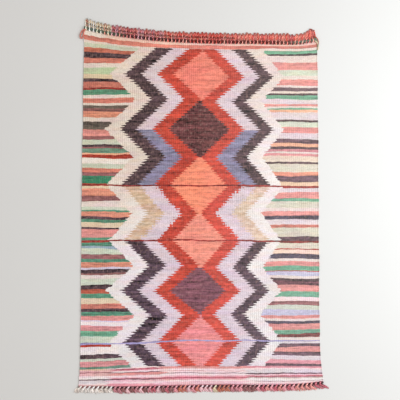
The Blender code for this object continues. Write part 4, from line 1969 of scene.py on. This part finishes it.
@dataclass
class Studio:
    """The plain pale floor, the soft light and the camera."""

    outline: RugOutline
    floor_size: float = 14.0
    lens: float = 50.0
    sensor_width: float = 36.0
    view_aside: float = -0.0087
    view_up: float = 0.9356
    distance: float = 2.825
    tilt: float = 1.0
    sky: Colour = (1.0, 0.968, 0.945, 1.0)
    sky_strength: float = 0.73
    key_place: tuple[float, float, float] = (2.6, 0.3, 2.0)
    key_power: float = 86.0
    key_size: float = 2.2
    key_tint: tuple[float, float, float] = (0.93, 1.0, 1.05)

    def build(self) -> None:
        """Build all of it."""
        self.lay_floor()
        self.light()
        self.place_camera()

    def lay_floor(self) -> None:
        """The floor, a wide sheet at the rug's underside."""
        bpy.ops.object.select_all(action="DESELECT")
        bpy.ops.mesh.primitive_plane_add(size=self.floor_size)
        floor = bpy.context.object
        floor.name = "pale_floor"
        floor.data.materials.append(FloorFinish().material())

    def light(self) -> None:
        """Even light from all round, and one large soft lamp at the right."""
        world = bpy.data.worlds.new("soft_room")
        world.use_nodes = True
        back = world.node_tree.nodes["Background"]
        back.inputs["Color"].default_value = self.sky
        back.inputs["Strength"].default_value = self.sky_strength
        bpy.context.scene.world = world
        lamp = bpy.data.lights.new("window_light", "AREA")
        lamp.energy = self.key_power
        lamp.size = self.key_size
        lamp.color = self.key_tint
        holder = bpy.data.objects.new("window_light", lamp)
        holder.location = self.key_place
        holder.rotation_euler = (-Vector(self.key_place)).to_track_quat("-Z", "Y").to_euler()
        bpy.context.scene.collection.objects.link(holder)
        bpy.context.scene.view_settings.view_transform = "Standard"

    def place_camera(self) -> None:
        """The camera, looking down at the rug's face."""
        data = bpy.data.cameras.new("camera")
        data.lens = self.lens
        data.sensor_width = self.sensor_width
        camera = bpy.data.objects.new("camera", data)
        lean = math.radians(self.tilt)
        x = self.outline.axis + self.view_aside
        y = self.outline.end_point(End.KNOTTED, 0.5, 0.0)[1] + self.view_up
        camera.location = (x, y - self.distance * math.sin(lean), self.distance * math.cos(lean))
        camera.rotation_euler = (lean, 0.0, 0.0)
        bpy.context.scene.collection.objects.link(camera)
        bpy.context.scene.camera = camera


def main() -> None:
    """Build the rug, piece by piece, and the room round it."""
    logging.basicConfig(level=logging.INFO, format="%(name)s: %(message)s")
    outline = RugOutline()
    Studio(outline).build()
    weave = WovenFinish().material()
    looped_yarn = PliedFinish("looped_yarn").material()
    knotted_yarn = PliedFinish("knotted_yarn").material()
    cloth = WovenCloth(outline, weave).build()
    edges = BoundSelvedges(outline, weave).build()
    cords = TwinedEdges(outline, looped_yarn).build()
    loops = LoopedFringe(outline, looped_yarn).build()
    tassels = KnottedFringe(outline, knotted_yarn).build()
    loose = LooseYarns(outline, looped_yarn).build()
    trim = [*edges, *cords, loops, tassels, loose]
    for piece in (cloth, *trim):
        LOG.info("%s: %d faces", piece.name, len(piece.data.polygons))


if __name__ == "__main__":
    main()
